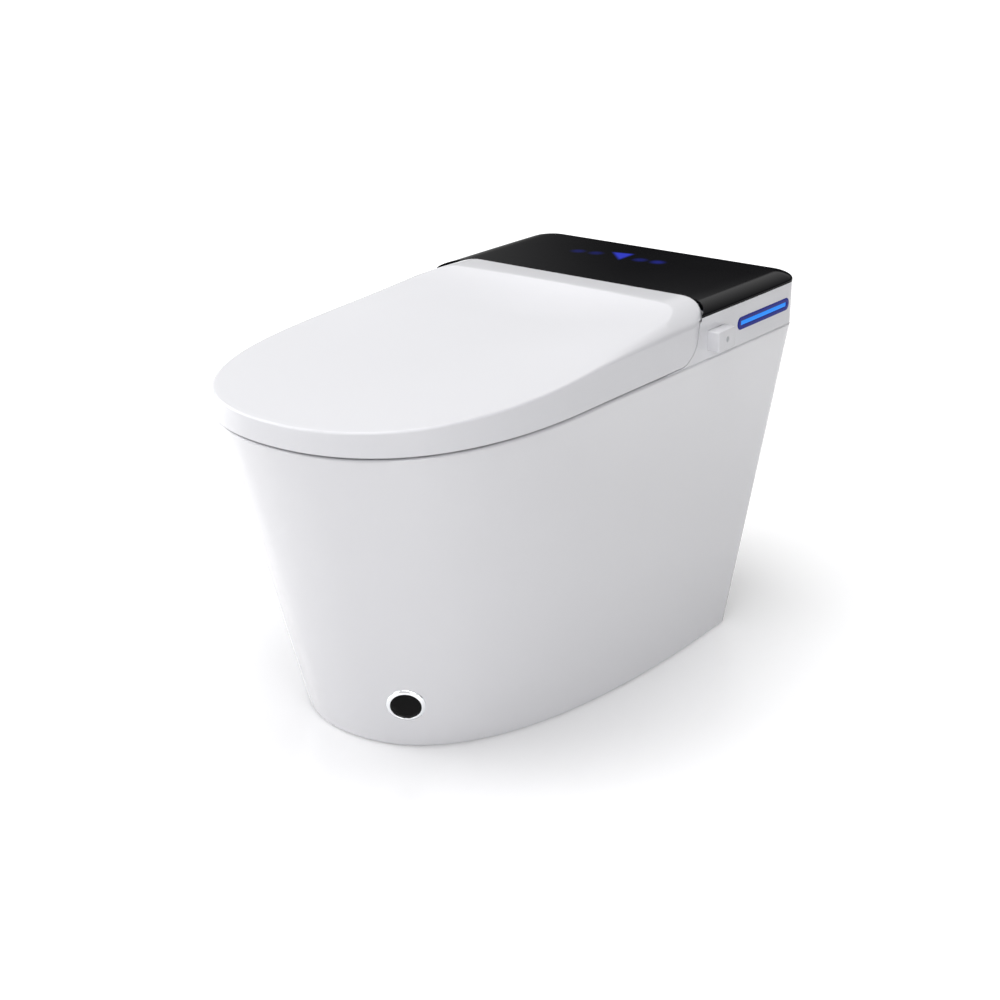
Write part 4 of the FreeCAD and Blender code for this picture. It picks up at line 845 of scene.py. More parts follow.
@dataclass
class CeramicBody:
    """One-piece pedestal: skirt, deck, bowl and hollow foot."""

    wall: float = 12.0
    deck_thick: float = 18.0
    edge: float = 3.0
    foot_edge: float = 1.0
    foot_gap: Plan = (3.0, 2.2)
    rim_round: float = 6.0
    rim_flat: float = 8.0
    bowl_centre: float = -234.0
    outlet_centre: float = -168.0
    bowl_half: Plan = (128.0, 158.0)
    bowl_wall: float = 11.0
    bowl_low: float = 242.0
    bowl_floor: float = 247.0
    bowl_pinch: Plan = (-1.4, 1.3)
    bowl_under: float = 258.0
    sink: Plan = (-167.0, 0.6)
    openings: tuple[tuple[str, Point, Point, float, int, Point], ...] = (
        ("well", (-150, -40, 340), (150, 262, 372), 20, 8, UP),
        ("notch", (-38, -122, 296), (86, -35, 372), 4, 3, UP),
        ("access", (-125, 113, 120), (125, 315, 325), 18, 8, ALONG))
    shares: tuple[float, float, float] = (0.16, 0.26, 0.5)
    steps: tuple[tuple[float, float, float], ...] = (
        (0.0, 1.0, 1.0), (35.0, 0.965, 0.955), (85.0, 0.84, 0.83), (135.0, 0.64, 0.66),
        (185.0, 0.43, 0.47), (225.0, 0.27, 0.31), (247.0, 0.20, 0.23))
    trap: tuple[Plan, ...] = (
        (-160.0, 130.0), (-99.0, 191.0), (-88.0, 201.0), (-75.0, 209.0), (-60.0, 214.0),
        (-45.0, 215.0), (-33.0, 213.4), (-22.0, 208.6), (-13.0, 201.5), (-6.0, 192.5),
        (-1.5, 182.0), (0.0, 170.0), (0.0, 12.0))
    trap_radii: Plan = (26.0, 36.0)
    trap_sides: int = 48

    def ruled(self, z: float, inset: float) -> list[Point]:
        """Loop on the skirt at a height.

        Args:
            z: height in mm.
            inset: distance inside the outer face.

        Returns:
            The loop of points.
        """
        t = z / DECK_Z
        low, high = FOOT.inset(inset).loop(), DECK.inset(inset).loop()
        return [(a[0] + (b[0] - a[0]) * t, a[1] + (b[1] - a[1]) * t, z) for a, b in zip(low, high)]

    def bowl_size(self, depth: float) -> tuple[float, float, float]:
        """Size of the bowl, eased between its stations.

        Args:
            depth: depth below the deck in mm.

        Returns:
            Half width, half length and centre along.
        """
        stations = self.steps
        k = max(i for i, s in enumerate(stations[:-1]) if s[0] <= depth)

        def slope(i: int, j: int) -> float:
            """Slope at a station.

            Args:
                i: number of the station.
                j: number of the measure.

            Returns:
                The slope.
            """
            a, b = stations[max(i - 1, 0)], stations[min(i + 1, len(stations) - 1)]
            return (b[j] - a[j]) / (b[0] - a[0])

        a, b = stations[k], stations[k + 1]
        h = b[0] - a[0]
        t = (depth - a[0]) / h
        along, across = (
            (2 * t ** 3 - 3 * t ** 2 + 1) * a[j] + (t ** 3 - 2 * t ** 2 + t) * slope(k, j) * h
            + (3 * t ** 2 - 2 * t ** 3) * b[j] + (t ** 3 - t ** 2) * slope(k + 1, j) * h
            for j in (1, 2))
        shift = (self.outlet_centre - self.bowl_centre) * (1 - along) / (1 - stations[-1][1])
        return (self.bowl_half[0] * across, self.bowl_half[1] * along,
                self.bowl_centre + shift)

    def bowl_loop(self, depth: float, grow: float) -> list[Point]:
        """Loop of the bowl at a depth, grown outward, in step with the outline loops."""
        a, b, cy = self.bowl_size(min(depth, self.bowl_floor - 0.1))
        return [((a + grow) * c, cy + (b + grow) * s, DECK_Z - depth) for c, s in self.turn()]

    @classmethod
    def turn(cls) -> list[Plan]:
        """Cosine and sine of the turn that each outline point stands for."""
        n = len(DECK.loop())
        angles = [pi / 2 - 2 * pi * cls.share(k, n) for k in range(n)]
        return [(cos(t), sin(t)) for t in angles]

    @classmethod
    def share(cls, k: int, n: int) -> float:
        """Share of the turn that an outline point stands for.

        Args:
            k: number of the point.
            n: number of all points.

        Returns:
            The share, 0 to 1.
        """
        m = min(k, n - k)
        rear = REAR_STEPS + CORNER_STEPS
        first, second, whole = cls.shares
        if m <= rear:
            s = first * m / rear
        elif m <= rear + SIDE_STEPS:
            s = first + (second - first) * (m - rear) / SIDE_STEPS
        else:
            s = second + (whole - second) * (m - rear - SIDE_STEPS) / NOSE_STEPS
        return s if k <= n // 2 else 1 - s

    def build(self) -> Piece:
        """Closed body from the bowl's outer face over the foot, skirt and deck into the bowl."""
        first = self.deck_thick
        rows = [self.bowl_loop(first, self.bowl_wall + 1.0)]
        rows += [self.bowl_loop(z, self.bowl_wall)
                 for z in spread(first, self.bowl_floor - 1.0, 14)]
        rows.append([(0.0, self.outlet_centre, DECK_Z - self.bowl_under)] * len(rows[0]))
        rows.reverse()
        rows += [self.ruled(z, self.wall) for z in (DECK_Z - first, 200.0, 0.0)]
        depth, foot = self.foot_gap
        rows += [self.ruled(z, depth) for z in (0.0, foot * 0.6, foot)]
        for s, c in quarter(4, 0):
            rows.append([(x, y, foot + self.foot_edge * (1 - c))
                         for x, y, _ in self.ruled(foot, self.foot_edge * (1 - s))])
        rows += [self.ruled(z, 0.0) for z in spread(foot + self.foot_edge, DECK_Z - self.edge, 40)]
        rows += [self.ruled(DECK_Z - self.edge * (1 - s), self.edge * (1 - c))
                 for s, c in quarter(6)]
        rows.append(self.ruled(DECK_Z, self.edge + 6))
        rows.append(self.bowl_loop(0.0, self.rim_flat))
        rows += [self.bowl_loop(self.rim_round * (1 - c), self.rim_round * (1 - s))
                 for s, c in quarter(5, 0)]
        rows += [self.bowl_loop(z, 0.0) for z in spread(self.rim_round, self.bowl_low, 44)]
        (size, power), (y, sunk) = self.bowl_pinch, self.sink
        rows += [self.bowl_loop(z, size * k ** power)
                 for k, z in enumerate(spread(self.bowl_low, self.bowl_floor, 4), 1)]
        rows.append([(0.0, y, DECK_Z - self.bowl_floor - sunk)] * len(rows[0]))
        body = Bench.skin("ceramic_body", rows)
        for tool in [Bench.block(*opening) for opening in self.openings]:
            Bench.cut(body, tool)
        return Bench.smooth(body, 32.0)

    def trapway(self) -> Piece:
        """Round waterway from the bowl over its bend to the floor outlet."""
        turns = [2 * pi * k / self.trap_sides for k in range(self.trap_sides)]
        inner, outer = [], []
        for i, (y, z) in enumerate(self.trap):
            a, b = self.trap[max(i - 1, 0)], self.trap[min(i + 1, len(self.trap) - 1)]
            along = Vector((0, b[0] - a[0], b[1] - a[1])).normalized()
            side = Vector(ACROSS)
            up = side.cross(along)
            for ring, r in zip((inner, outer), self.trap_radii):
                ring.append([tuple(Vector((0, y, z)) + (side * cos(t) + up * sin(t)) * r)
                             for t in turns])
        rows = inner[::-1] + outer
        return Bench.smooth(Bench.skin("ceramic_trapway", rows + rows[:1]), 40.0)

    def dress(self) -> None:
        """Build and finish the ceramic."""
        Bench.dress(self.build(), Body.TOILET, CERAMIC, "ceramic_pedestal")
        Bench.dress(self.trapway(), Body.TOILET, CERAMIC)


# ---- lid

@dataclass
class Lid:
    """Deep lid with its hollow ramp, raised rear band and rounded heels."""

    bottom: float = DECK_Z + 3.0
    front_top: float = DECK_Z + 27.7
    slope: float = 0.0503
    band: float = DECK_Z + 66.0
    band_start: float = 148.0
    band_width: float = 48.0
    band_drop: float = 28.0
    ramp_flat: float = 171.0
    ramp_roll: float = 23.0
    spine_y: float = HINGE_Y - 30.0
    heel: float = 36.0
    heel_y: float = 14.0
    wall: float = 4.0
    edge: float = 3.0
    crease_soft: float = 0.6
    crease_rows: tuple[Plan, ...] = ((0.5, 0.2), (1.2, 0.4), (2.5, 0.6))
    lug: Plan = (140.2, 156.2)
    rises: tuple[tuple[float, float, float, float], ...] = (
        (-460, 0, 0, 0), (-394, 0, 0, 0), (-328, -0.7, 0, 0), (-260, -1.5, 0, 0),
        (-200, -2, 0.5, 0.3), (-150, -2, 1.8, 0.3), (-100, -1.9, 3.9, -1.5),
        (-60, -1.5, 5.4, -3.2), (-30, -0.8, 6.6, -4.4), (0, 1.7, 8.1, -4.8),
        (20, 4.9, 9.9, -4.5), (35, 8.7, 12.1, -3.9), (48, 13.5, 15.2, -2.5),
        (65, 21.6, 20.6, 0.6), (90, 37.3, 31.3, 7.3))

    def __post_init__(self) -> None:
        """Make the three curves along the lid: centre, shoulder and side edge."""
        self.tracks = [smooth_track([(row[0], row[k]) for row in self.rises]) for k in (1, 2, 3)]

    def ramp(self, x: float, y: float) -> float:
        """Sloping top: hollow along the middle, rolled down at the sides.

        Args:
            x: place across in mm.
            y: place along in mm.

        Returns:
            The height in mm.
        """
        centre, shoulder, side = (track(y) for track in self.tracks)
        t = abs(x) / self.ramp_flat
        if t <= 1:
            rise = centre + (shoulder - centre) * t * t * (3 - 2 * t)
        else:
            u = min((abs(x) - self.ramp_flat) / self.ramp_roll, 1.15)
            rise = shoulder + (side - shoulder) * u ** 4
        return self.front_top + self.slope * (y - FRONT_Y) + rise

    def band_top(self, x: float) -> float:
        """Height of the raised rear band at a distance from the middle."""
        t = min(max((abs(x) - self.band_start) / self.band_width, 0.0), 1.0)
        return self.band - self.band_drop * (1 - sqrt(1 - t * t))

    def top(self, x: float, y: float) -> float:
        """Height of the upper face, with the crease a little rounded."""
        ramp, band = self.ramp(x, y), self.band_top(x)
        return (ramp + band - sqrt((ramp - band) ** 2 + self.crease_soft ** 2)) / 2

    def spine(self, y: float) -> float:
        """Place on the spine that an outline point looks to."""
        return min(max(y, LID.mid_y), self.spine_y)

    def crease(self, x: float, y: float) -> float | None:
        """Share of the line from the spine to an outline point where the crease crosses it.

        Args:
            x: the outline point across in mm.
            y: the same along.

        Returns:
            The share, or None where the line stays under the band.
        """
        sy = self.spine(y)

        def over(t: float) -> bool:
            """Whether the ramp stands over the band at a share of the line."""
            return self.ramp(x * t, sy + (y - sy) * t) > self.band_top(x * t)
        if not over(1.0):
            return None
        low, high = 0.0, 1.0
        for _ in range(24):
            mid = (low + high) / 2
            low, high = (low, mid) if over(mid) else (mid, high)
        return high

    def shares(self) -> Iterator[list[float]]:
        """Row places along the line from each outline point to the spine.

        Rows lie close together at the crease, so that its edge is clean.
        """
        loop = LID.inset(self.edge).loop()
        crease = [self.crease(x, y) for x, y in loop]
        hits = [i for i, c in enumerate(crease) if c is not None]
        for i, (x, y) in enumerate(loop):
            length = hypot(x, y - self.spine(y))
            here = crease[i]
            if here is None:
                steps = min(min(abs(i - h), len(loop) - abs(i - h)) for h in hits)
                here = max(0.6, 1 - 0.012 * steps)
            outer = [here + min(d / length, (1 - here) * f)
                     for d, f in reversed(self.crease_rows)]
            inner = [here - d / length for d, _ in self.crease_rows]
            yield (spread(1.0, outer[0], 16) + outer[1:] + [here] + inner
                   + spread(inner[-1], 0.0, 44))

    def build(self) -> Piece:
        """Outer skin from the rim over the side and the top, then a wall and the heels."""
        rows = []
        for k in range(9):
            rows.append([(x, y, self.bottom + (self.top(x, y) - self.edge - self.bottom) * k / 8)
                         for x, y in LID.loop()])
        for s, c in quarter(8):
            rows.append([(x, y, self.top(x, y) - self.edge * (1 - s))
                         for x, y in LID.inset(self.edge * (1 - c)).loop()])
        loop = LID.inset(self.edge).loop()
        for line in zip(*self.shares()):
            row = []
            for (x, y), t in zip(loop, line):
                sy = self.spine(y)
                px, py = x * t, sy + (y - sy) * t
                row.append((px, py, self.top(px, py)))
            rows.append(row)
        skin = Bench.skin("lid_shell_skin", rows)
        Bench.modify(skin, "SOLIDIFY", thickness=self.wall * MM, offset=-1.0,
                     use_even_offset=True, use_quality_normals=True)
        Bench.cut(skin, self.heels())
        return Bench.smooth(skin, 32.0)

    def heels(self) -> Piece:
        """Body below the round heels and the rear lip."""
        cz = self.bottom + self.heel
        points = [(self.heel_y + self.heel * s, cz - self.heel * c) for s, c in quarter(24, 0)]
        points += [(HINGE_Y + 4, HINGE_Z), (REAR_Y, HINGE_Z), (REAR_Y, 300), (self.heel_y, 300)]
        return Bench.profile("heels", [(-300, y, z) for y, z in points], (600, 0, 0))

    def web(self, a: float, b: float) -> Piece:
        """Web of a lug between two places across, up to the band's underside."""
        top = self.band_top(self.lug[1]) - 2
        return Bench.block("web", (a, HINGE_Y - 9, HINGE_Z), (b, HINGE_Y + 9, top), 2, 2)

    def dress(self) -> None:
        """Build and finish the lid."""
        Bench.dress(self.build(), Body.LID, WHITE_SHELL, "lid_shell")
        Bench.dress(Bench.lugs("lid_lugs", self.lug, self.web), Body.LID, WHITE_SHELL)


# ---- seat

@dataclass
class Seat:
    """Heated seat: crowned ring with lugs that reach back to the hinge."""

    under: float = DECK_Z + 6.5
    chamfer: float = 0.8
    front_top: float = DECK_Z + 21.5
    slope: float = 0.036
    hole_half: Plan = (106.0, 139.0)
    hole_y: float = -237.0
    hole_power: float = 2 / 2.2
    rounding: float = 6.0
    crown: float = 1.2
    joint: tuple[Plan, ...] = ((0.8, 0.0), (2.8, 0.0), (2.8, 1.2), (3.4, 1.2), (3.4, 0.0))
    lug: Plan = (124.4, 139.8)
    arm: tuple[Plan, ...] = ((4, 371.5), (4, 398), (43, 422), (54, 405), (32, 392), (12, 371.5))

    def top(self, y: float) -> float:
        """Height of the seat's upper face."""
        return self.front_top + self.slope * (y - FRONT_Y)

    def hole(self, grow: float) -> list[Plan]:
        """Loop of the opening, in step with the outer outline.

        Args:
            grow: distance outside the opening in mm.

        Returns:
            The loop of points.
        """
        a, b = (half + grow for half in self.hole_half)
        pts = []
        for c, s in CeramicBody.turn():
            x, y = abs(c) ** self.hole_power * a, abs(s) ** self.hole_power * b
            pts.append((x if c > 0 else -x, self.hole_y + (y if s > 0 else -y)))
        return pts

    def side(self, loop: list[Plan], steps: tuple[int, ...]) -> Rows:
        """Upright rows between the chamfer underneath and the start of the rounding."""
        low = self.under + self.chamfer
        return [[(x, y, low + (self.top(y) - self.rounding - low) * k / 3) for x, y in loop]
                for k in steps]

    def edge(self, loop: list[Plan], drop: float) -> list[Point]:
        """Row below the upper face by a drop."""
        return [(x, y, self.top(y) - drop) for x, y in loop]

    def build(self) -> Piece:
        """Ring of the seat with the joint line of its closing plate underneath."""
        rows = self.side(SEAT.loop(), (0, 1, 2, 3))
        rows += [self.edge(SEAT.inset(self.rounding * (1 - c)).loop(), self.rounding * (1 - s))
                 for s, c in quarter(8)]
        flat, ring = SEAT.inset(self.rounding).loop(), self.hole(self.rounding)
        for t in spread(0.0, 1.0, 12)[:-1]:
            loop = [(a[0] + (b[0] - a[0]) * t, a[1] + (b[1] - a[1]) * t)
                    for a, b in zip(flat, ring)]
            rows.append(self.edge(loop, self.crown * sin(pi * t) ** 2))
        rows += [self.edge(self.hole(self.rounding * (1 - s)), self.rounding * (1 - c))
                 for s, c in quarter(8, 0)]
        rows += self.side(self.hole(0.0), (2, 1, 0))
        rows += [[(x, y, self.under + z) for x, y in self.hole(d)] for d, z in self.joint]
        rows += [[(x, y, self.under + z) for x, y in SEAT.inset(d).loop()]
                 for d, z in reversed(self.joint)]
        return Bench.smooth(Bench.skin("seat_ring", rows + rows[:1]), 40.0)

    def web(self, a: float, b: float) -> Piece:
        """Arm of a lug between two places across."""
        return Bench.profile("arm", [(a, y, z) for y, z in self.arm], (b - a, 0, 0))

    def dress(self) -> None:
        """Build and finish the seat."""
        Bench.dress(self.build(), Body.SEAT, SEAT_SHELL, "seat_top", "seat_base", "seat_heater")
        Bench.dress(Bench.lugs("seat_arms", self.lug, self.web, 0.8), Body.SEAT, SEAT_SHELL)


# ---- rear housing and cover

@dataclass
class RearUnit:
    """White housing wall, glossy black cover, light bars, button and their gaps."""

    seam_z: float = DECK_Z + 52.0
    top_z: float = DECK_Z + 62.5
    seam: float = 1.8
    roll: Plan = (26.0, 20.0)
    roll_drop: float = 8.5
    wall: float = 3.5
    bar_y: float = HINGE_Y + 149.5
    bar_z: float = DECK_Z + 26.5
    bar: Plan = (125.0, 15.5)
    core: Plan = (110.0, 5.4)
    core_round: float = 0.8
    button: Plan = (HINGE_Y + 39.5, DECK_Z + 22.0)
    button_face: float = 209.0
    button_half: Plan = (19.0, 12.0)
    dot: float = 3.3
    sweep: tuple[Plan, ...] = (
        (0.0, 0.0), (43.1, 0.0), (43.1, 148.0), (42.3, 157.0), (40.1, 166.0), (35.5, 175.0),
        (29.0, 182.0), (20.0, 188.0), (9.0, 192.0), (0.0, 193.0))

    def housing(self) -> Piece:
        """Side and rear wall with its round heel edge and the wall in front."""
        wall = Bench.smooth(Bench.copied("rear_housing", "rear_housing_wall"), 20.0)
        Bench.modify(wall, "WEIGHTED_NORMAL", weight=90, keep_sharp=True)
        return wall

    def cover(self) -> Piece:
        """Black cover: flat top rolled down at the sides and rear, cut round the lid."""
        shape = DECK.inset(0.3)
        foot = self.top_z - self.roll_drop
        rows = [[(x, y, z) for x, y in shape.loop()] for z in (self.seam_z, foot)]
        for s, c in quarter(16):
            side, rear = (w * (1 - c) for w in self.roll)
            rows.append([(x, y, foot + self.roll_drop * s)
                         for x, y in shape.inset(side, rear).loop()])
        inner = shape.inset(*self.roll)
        for share in spread(1.0, 0.0, 8):
            row = []
            for x, y in inner.loop():
                sy = min(max(y, shape.mid_y), inner.rear_y - 60)
                row.append((x * share, sy + (y - sy) * share, self.top_z))
            rows.append(row)
        skin = Bench.skin("top_cover_skin", rows)
        Bench.modify(skin, "SOLIDIFY", thickness=self.wall * MM, offset=-1.0,
                     use_even_offset=True)
        for tool in self.lid_tools():
            Bench.cut(skin, tool)
        return Bench.smooth(skin, 35.0)

    def lid_tools(self) -> tuple[Piece, Piece]:
        """The lid's outline grown by the seam, and the sweep of its rear edge."""
        half, front, rear = 260.0, -460.0, HINGE_Y + 2
        edge = sorted((p for p in LID.inset(-self.seam).loop() if p[1] > rear),
                      key=lambda p: p[0])
        plan = [(-half, front), (-half, rear), *edge, (half, rear), (half, front)]
        space = Bench.profile("lid_space", [(x, y, 400.0) for x, y in plan], (0, 0, 60))
        whole = [(r, -h) for r, h in reversed(self.sweep[1:])] + list(self.sweep[1:])
        return space, Bench.spun("lid_sweep", Vector((0, HINGE_Y, HINGE_Z)), Vector(ACROSS),
                                 whole, 180)

    @staticmethod
    def wall_x(y: float) -> float:
        """Half width of the housing's side.

        Args:
            y: place along in mm.

        Returns:
            The half width in mm.
        """
        half = DECK.inset(0.1).half()
        for (x0, y0), (x1, y1) in zip(half, half[1:]):
            if y1 <= y <= y0 and y0 != y1:
                return x0 + (x1 - x0) * (y - y0) / (y1 - y0)
        return half[0][0]

    def stadium(self, label: str, size: Plan, depths: Plan, side: Side, radius: float) -> Piece:
        """Bar with rounded ends that follows the housing's side.

        Args:
            label: name of the piece.
            size: length and height.
            depths: how deep it goes behind the wall's face, and how far it stands out.
            side: side of the object.
            radius: corner radius seen from the side.

        Returns:
            The bar.
        """
        length, height = size
        a, b = sorted((side.value * -depths[0], side.value * depths[1]))
        bar = Bench.block(label, (a, self.bar_y - length / 2, self.bar_z - height / 2),
                          (b, self.bar_y + length / 2, self.bar_z + height / 2),
                          radius, 12, ACROSS)
        Bench.pick(bar)
        with Bench.editing():
            for share in spread(-0.5, 0.5, 12)[:-1]:
                bpy.ops.mesh.select_all(action="SELECT")
                bpy.ops.mesh.bisect(plane_co=(0, (self.bar_y + length * share) * MM, 0),
                                    plane_no=ALONG)
        for v in bar.data.vertices:
            v.co.x += side.value * self.wall_x(v.co.y / MM) * MM
        return bar

    def light(self, side: Side) -> None:
        """Build and finish the frame and the lit guide of one light bar.

        Args:
            side: side of the object.
        """
        tag = side.name.lower()
        bar = self.stadium(f"light_bar_frame_{tag}", self.bar, (6.0, 0.1), side,
                           self.bar[1] / 2 - 0.01)
        Bench.cut(bar, self.stadium("slot", self.core, (12.0, 6.0), side, self.core_round))
        Bench.bevel(bar, 0.5, 3)
        guide = self.stadium(f"light_bar_guide_{tag}", self.core, (6.0, -0.3), side,
                             self.core_round)
        Bench.bevel(guide, 0.6, 3)
        Bench.dress(Bench.smooth(bar, 40), Body.TOILET, FRAME_BLUE_PAINTED_GLOW, f"light_frame_{tag}")
        Bench.dress(Bench.smooth(guide, 40), Body.TOILET, LIGHT_BLUE, f"light_guide_{tag}")

    def push_button(self) -> None:
        """Build and finish the button block with its indicator dot."""
        (by, bz), (hy, hz), face = self.button, self.button_half, self.button_face
        block = Bench.block("button_block", (face - 21.5, by - hy, bz - hz),
                            (face, by + hy, bz + hz), 1.5, 5)
        seat = (face - 0.9, by + 1, bz)
        Bench.cut(block, Bench.rod("hole", seat, 3, self.dot + 0.1, 48))
        dot = Bench.spun("button_dot", Vector(seat), Vector(ACROSS),
                         [(0.0, 0.8), (1.8, 0.75), (2.8, 0.55), (self.dot, 0.2),
                          (self.dot, 0.0), (0.0, 0.0)], 48)
        Bench.dress(Bench.smooth(block, 40), Body.BUTTON, WHITE_SHELL, "side_button")
        Bench.dress(Bench.smooth(dot, 50), Body.BUTTON, INDICATOR, "button_indicator")

    def dress(self) -> None:
        """Build and finish the rear unit."""
        Bench.dress(self.housing(), Body.TOILET, WHITE_SHELL, "rear_housing")
        Bench.dress(self.cover(), Body.TOILET, PIANO_BLACK, "top_cover")
        for side in Side:
            self.light(side)
        self.push_button()


# ---- foot sensor

@dataclass
class FootSensor:
    """Bright conical ring and dark lens low on the skirt."""

    place: float = 0.768
    height: float = 58.5
    ring: float = 21.3
    bore: float = 16.9
    lens: float = 16.8
    proud: float = 2.6

    def at(self, z: float, t: float) -> Vector:
        """Point of the skirt's nose.

        Args:
            z: height in mm.
            t: place along the nose, 0 to 1.

        Returns:
            The point in mm.
        """
        low, high = (bezier(o.nose_poles(), t) for o in (FOOT, DECK))
        k = z / DECK_Z
        return Vector((low[0] + (high[0] - low[0]) * k, low[1] + (high[1] - low[1]) * k, z))

    def axis(self) -> tuple[Vector, Vector]:
        """Centre and outward normal on the skirt."""
        along = self.at(self.height, self.place + 0.01) - self.at(self.height, self.place - 0.01)
        rise = self.at(self.height + 5, self.place) - self.at(self.height - 5, self.place)
        normal = rise.cross(along).normalized()
        return self.at(self.height, self.place), normal if normal.y < 0 else -normal

    def dress(self) -> None:
        """Build and finish the sensor."""
        centre, normal = self.axis()
        top, bore, lens = self.proud, self.bore, self.lens
        for label, finish, node, section in (
                ("sensor_ring", CHROME, "foot_sensor_bezel",
                 [(bore, -3.0), (self.ring, -3.0), (self.ring, 0.5), (20.8, 1.0),
                  (19.2, top - 0.7), (18.3, top - 0.2), (17.8, top), (17.2, top - 0.1),
                  (bore, top - 0.5)]),
                ("sensor_lens", LENS, "foot_sensor_lens",
                 [(0.0, top - 0.5), (6.0, top - 0.55), (11.0, top - 0.7), (15.0, top - 0.95),
                  (16.4, top - 1.2), (lens, top - 1.6), (lens, -2.0), (0.0, -2.0)])):
            piece = Bench.smooth(Bench.spun(label, centre, normal, section), 50)
            Bench.dress(piece, Body.TOILET, finish, node)


# ---- inner parts

@dataclass
class InnerParts:
    """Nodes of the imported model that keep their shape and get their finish."""

    finishes: tuple[Finish, ...] = (
        CERAMIC, WHITE_SHELL, SEAT_SHELL, LENS, GREY_MOULDED, BLACK_MOULDED, DARK_RUBBER,
        WHITE_RUBBER, STEEL, CHROME, BRASS, LIGHT_BLUE, FRAME_BLUE_PAINTED_GLOW, FOIL, BOARD, INDICATOR)

    def dress(self) -> None:
        """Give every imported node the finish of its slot."""
        by_slot = {finish.slot: finish for finish in self.finishes}
        slots = {s["node"]: s["material_slot"] for s in frame["record"]["subparts"]}
        for node, piece in frame["nodes"].items():
            made = by_slot[slots[node]].material()
            for slot in piece.material_slots:
                slot.material = made
        log.info("finished %d packed nodes", len(frame["nodes"]))


# ---- studio

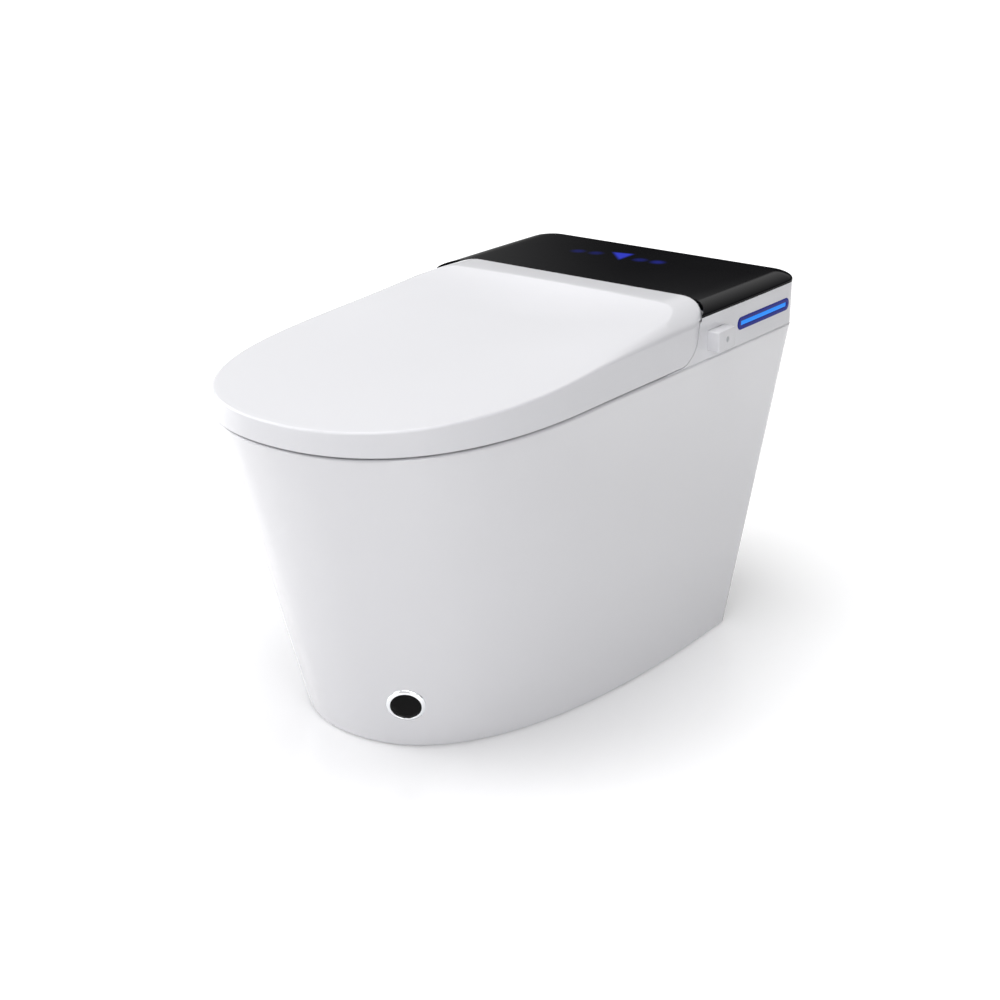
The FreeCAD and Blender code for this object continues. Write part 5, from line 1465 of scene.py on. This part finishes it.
@dataclass
class Studio:
    """Camera at the photograph's angle, soft lamps and a pale floor."""

    azimuth: float = 36.7091
    elevation: float = 20.0496
    distance: float = 1960.0
    target: Point = (0.0, -43.1, 245.0)
    lens: float = 59.1733
    shift: Plan = (-0.0132, -0.0504)
    world_level: float = 0.06
    far_level: float = 0.75
    low_level: float = 0.02
    low_top: Plan = (0.25, 0.29)
    low_left: Plan = (-0.84, -0.56)
    low_right: Plan = (1.05, 1.35)
    floor_colour: Rgb = (0.86, 0.86, 0.87)
    floor_roughness: float = 0.22
    floor_centre: Plan = (0.0, -145.0)
    floor_half: Plan = (300.0, 330.0)
    floor_spans: tuple[Plan, Plan] = ((0.55, 1.9), (1.6, 5.0))
    # Floor glow levels near, middle and far; the low near level is painted shade round the foot.
    floor_glow_with_painted_shade: tuple[float, float, float] = (0.14, 0.48, 0.52)
    aim: Point = (0.0, 0.0, 0.2)
    lamps: tuple[tuple[str, Point, Plan, float], ...] = (
        ("key", (-2.4, -2.2, 2.6), (2.2, 2.2), 40.0),
        ("front", (-0.8, -3.4, 1.1), (2.4, 1.4), 12.0),
        ("left", (-3.2, -0.8, 1.4), (2.0, 2.0), 34.0),
        ("right", (2.8, -1.8, 1.6), (1.8, 2.2), 36.0),
        ("over", (0.0, -0.6, 3.4), (2.4, 2.4), 69.0))

    @staticmethod
    def place(label: str, data: bpy.types.ID, at: Vector, way: Vector) -> Piece:
        """Put a camera or lamp in the scene.

        Args:
            label: its name.
            data: its settings.
            at: its place in metres.
            way: direction that it looks in.

        Returns:
            The new object.
        """
        made = bpy.data.objects.new(label, data)
        bpy.context.collection.objects.link(made)
        made.location = at
        made.rotation_mode = "QUATERNION"
        made.rotation_quaternion = way.to_track_quat("-Z", "Y")
        return made

    def camera(self) -> None:
        """Make the camera."""
        a, e = radians(self.azimuth), radians(self.elevation)
        back = Vector((sin(a) * cos(e), -cos(a) * cos(e), sin(e)))
        data = bpy.data.cameras.new("camera")
        data.lens, data.sensor_width = self.lens, 36.0
        data.shift_x, data.shift_y = self.shift
        data.clip_start, data.clip_end = 0.05, 60.0
        place = (Vector(self.target) + back * self.distance) * MM
        bpy.context.scene.camera = self.place("camera", data, place, -back)

    def floor(self) -> None:
        """Pale floor that keeps the object's shadow and reads as white, with a glow seen by the
        camera that is weaker near the object: painted shade round its foot.
        """
        Bench.clear()
        bpy.ops.mesh.primitive_plane_add(size=60.0, location=(0, 0, 0))
        piece = Bench.named("studio_floor")
        made = bpy.data.materials.new("pale_floor")
        made.use_nodes = True
        tree = Nodes(made.node_tree)
        # Glow seen by the camera and in reflections, weakest close to the foot: painted shade that
        # deepens the contact shadow.
        away = tree.reach(self.floor_centre, self.floor_half)
        (inner, outer), (near_painted_shade, middle, far) = self.floor_spans, self.floor_glow_with_painted_shade
        glow_with_painted_shade = tree.math("ADD", tree.fade(away, inner, near_painted_shade, middle),
                         tree.fade(away, outer, 0.0, far))
        rays = tree.add("LightPath").outputs
        seen = tree.math("MAXIMUM", rays["Is Camera Ray"], rays["Is Glossy Ray"])
        tree.put(made.node_tree.nodes[SHADER], {
            "Base Color": (*self.floor_colour, 1), "Roughness": self.floor_roughness,
            "Emission Color": (1, 1, 1, 1),
            "Emission Strength": tree.math("MULTIPLY", seen, glow_with_painted_shade)})
        piece.data.materials.append(made)

    def world(self) -> None:
        """White surround, softer for the light that it gives, darker low down behind."""
        world = bpy.data.worlds.new("studio")
        bpy.context.scene.world = world
        world.use_nodes = True
        tree = Nodes(world.node_tree)
        rays = tree.add("LightPath").outputs
        way = tree.add("SeparateXYZ", {0: tree.coord("Generated")}).outputs
        turn = tree.math("ARCTAN2", way["X"], way["Y"])
        low = tree.math("MULTIPLY", tree.fade(way["Z"], self.low_top, 1.0, 0.0),
                        tree.fade(turn, self.low_left, 0.0, 1.0))
        low = tree.math("MULTIPLY", low, tree.fade(turn, self.low_right, 1.0, 0.0))
        glossy = tree.mix(rays["Is Glossy Ray"], self.world_level,
                          tree.mix(low, self.far_level, self.low_level))
        seen = tree.math("MAXIMUM", rays["Is Camera Ray"], rays["Is Transmission Ray"])
        tree.put(world.node_tree.nodes["Background"],
                 {"Color": (1, 1, 1, 1), "Strength": tree.mix(seen, glossy, 1.0)})

    def build(self) -> None:
        """Set up the whole studio."""
        bpy.context.scene.view_settings.view_transform = "Standard"
        self.camera()
        self.world()
        self.floor()
        for label, at, (width, height), power in self.lamps:
            data = bpy.data.lights.new(label, "AREA")
            data.shape, data.size, data.size_y = "RECTANGLE", width, height
            data.energy = power
            self.place(label, data, Vector(at), Vector(self.aim) - Vector(at))
        log.info("studio ready")


def main() -> None:
    """Build every sub-assembly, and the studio."""
    for part in (InnerParts(), CeramicBody(), Lid(), Seat(), RearUnit(), FootSensor()):
        part.dress()
    Studio().build()


if __name__ == "__main__":
    main()
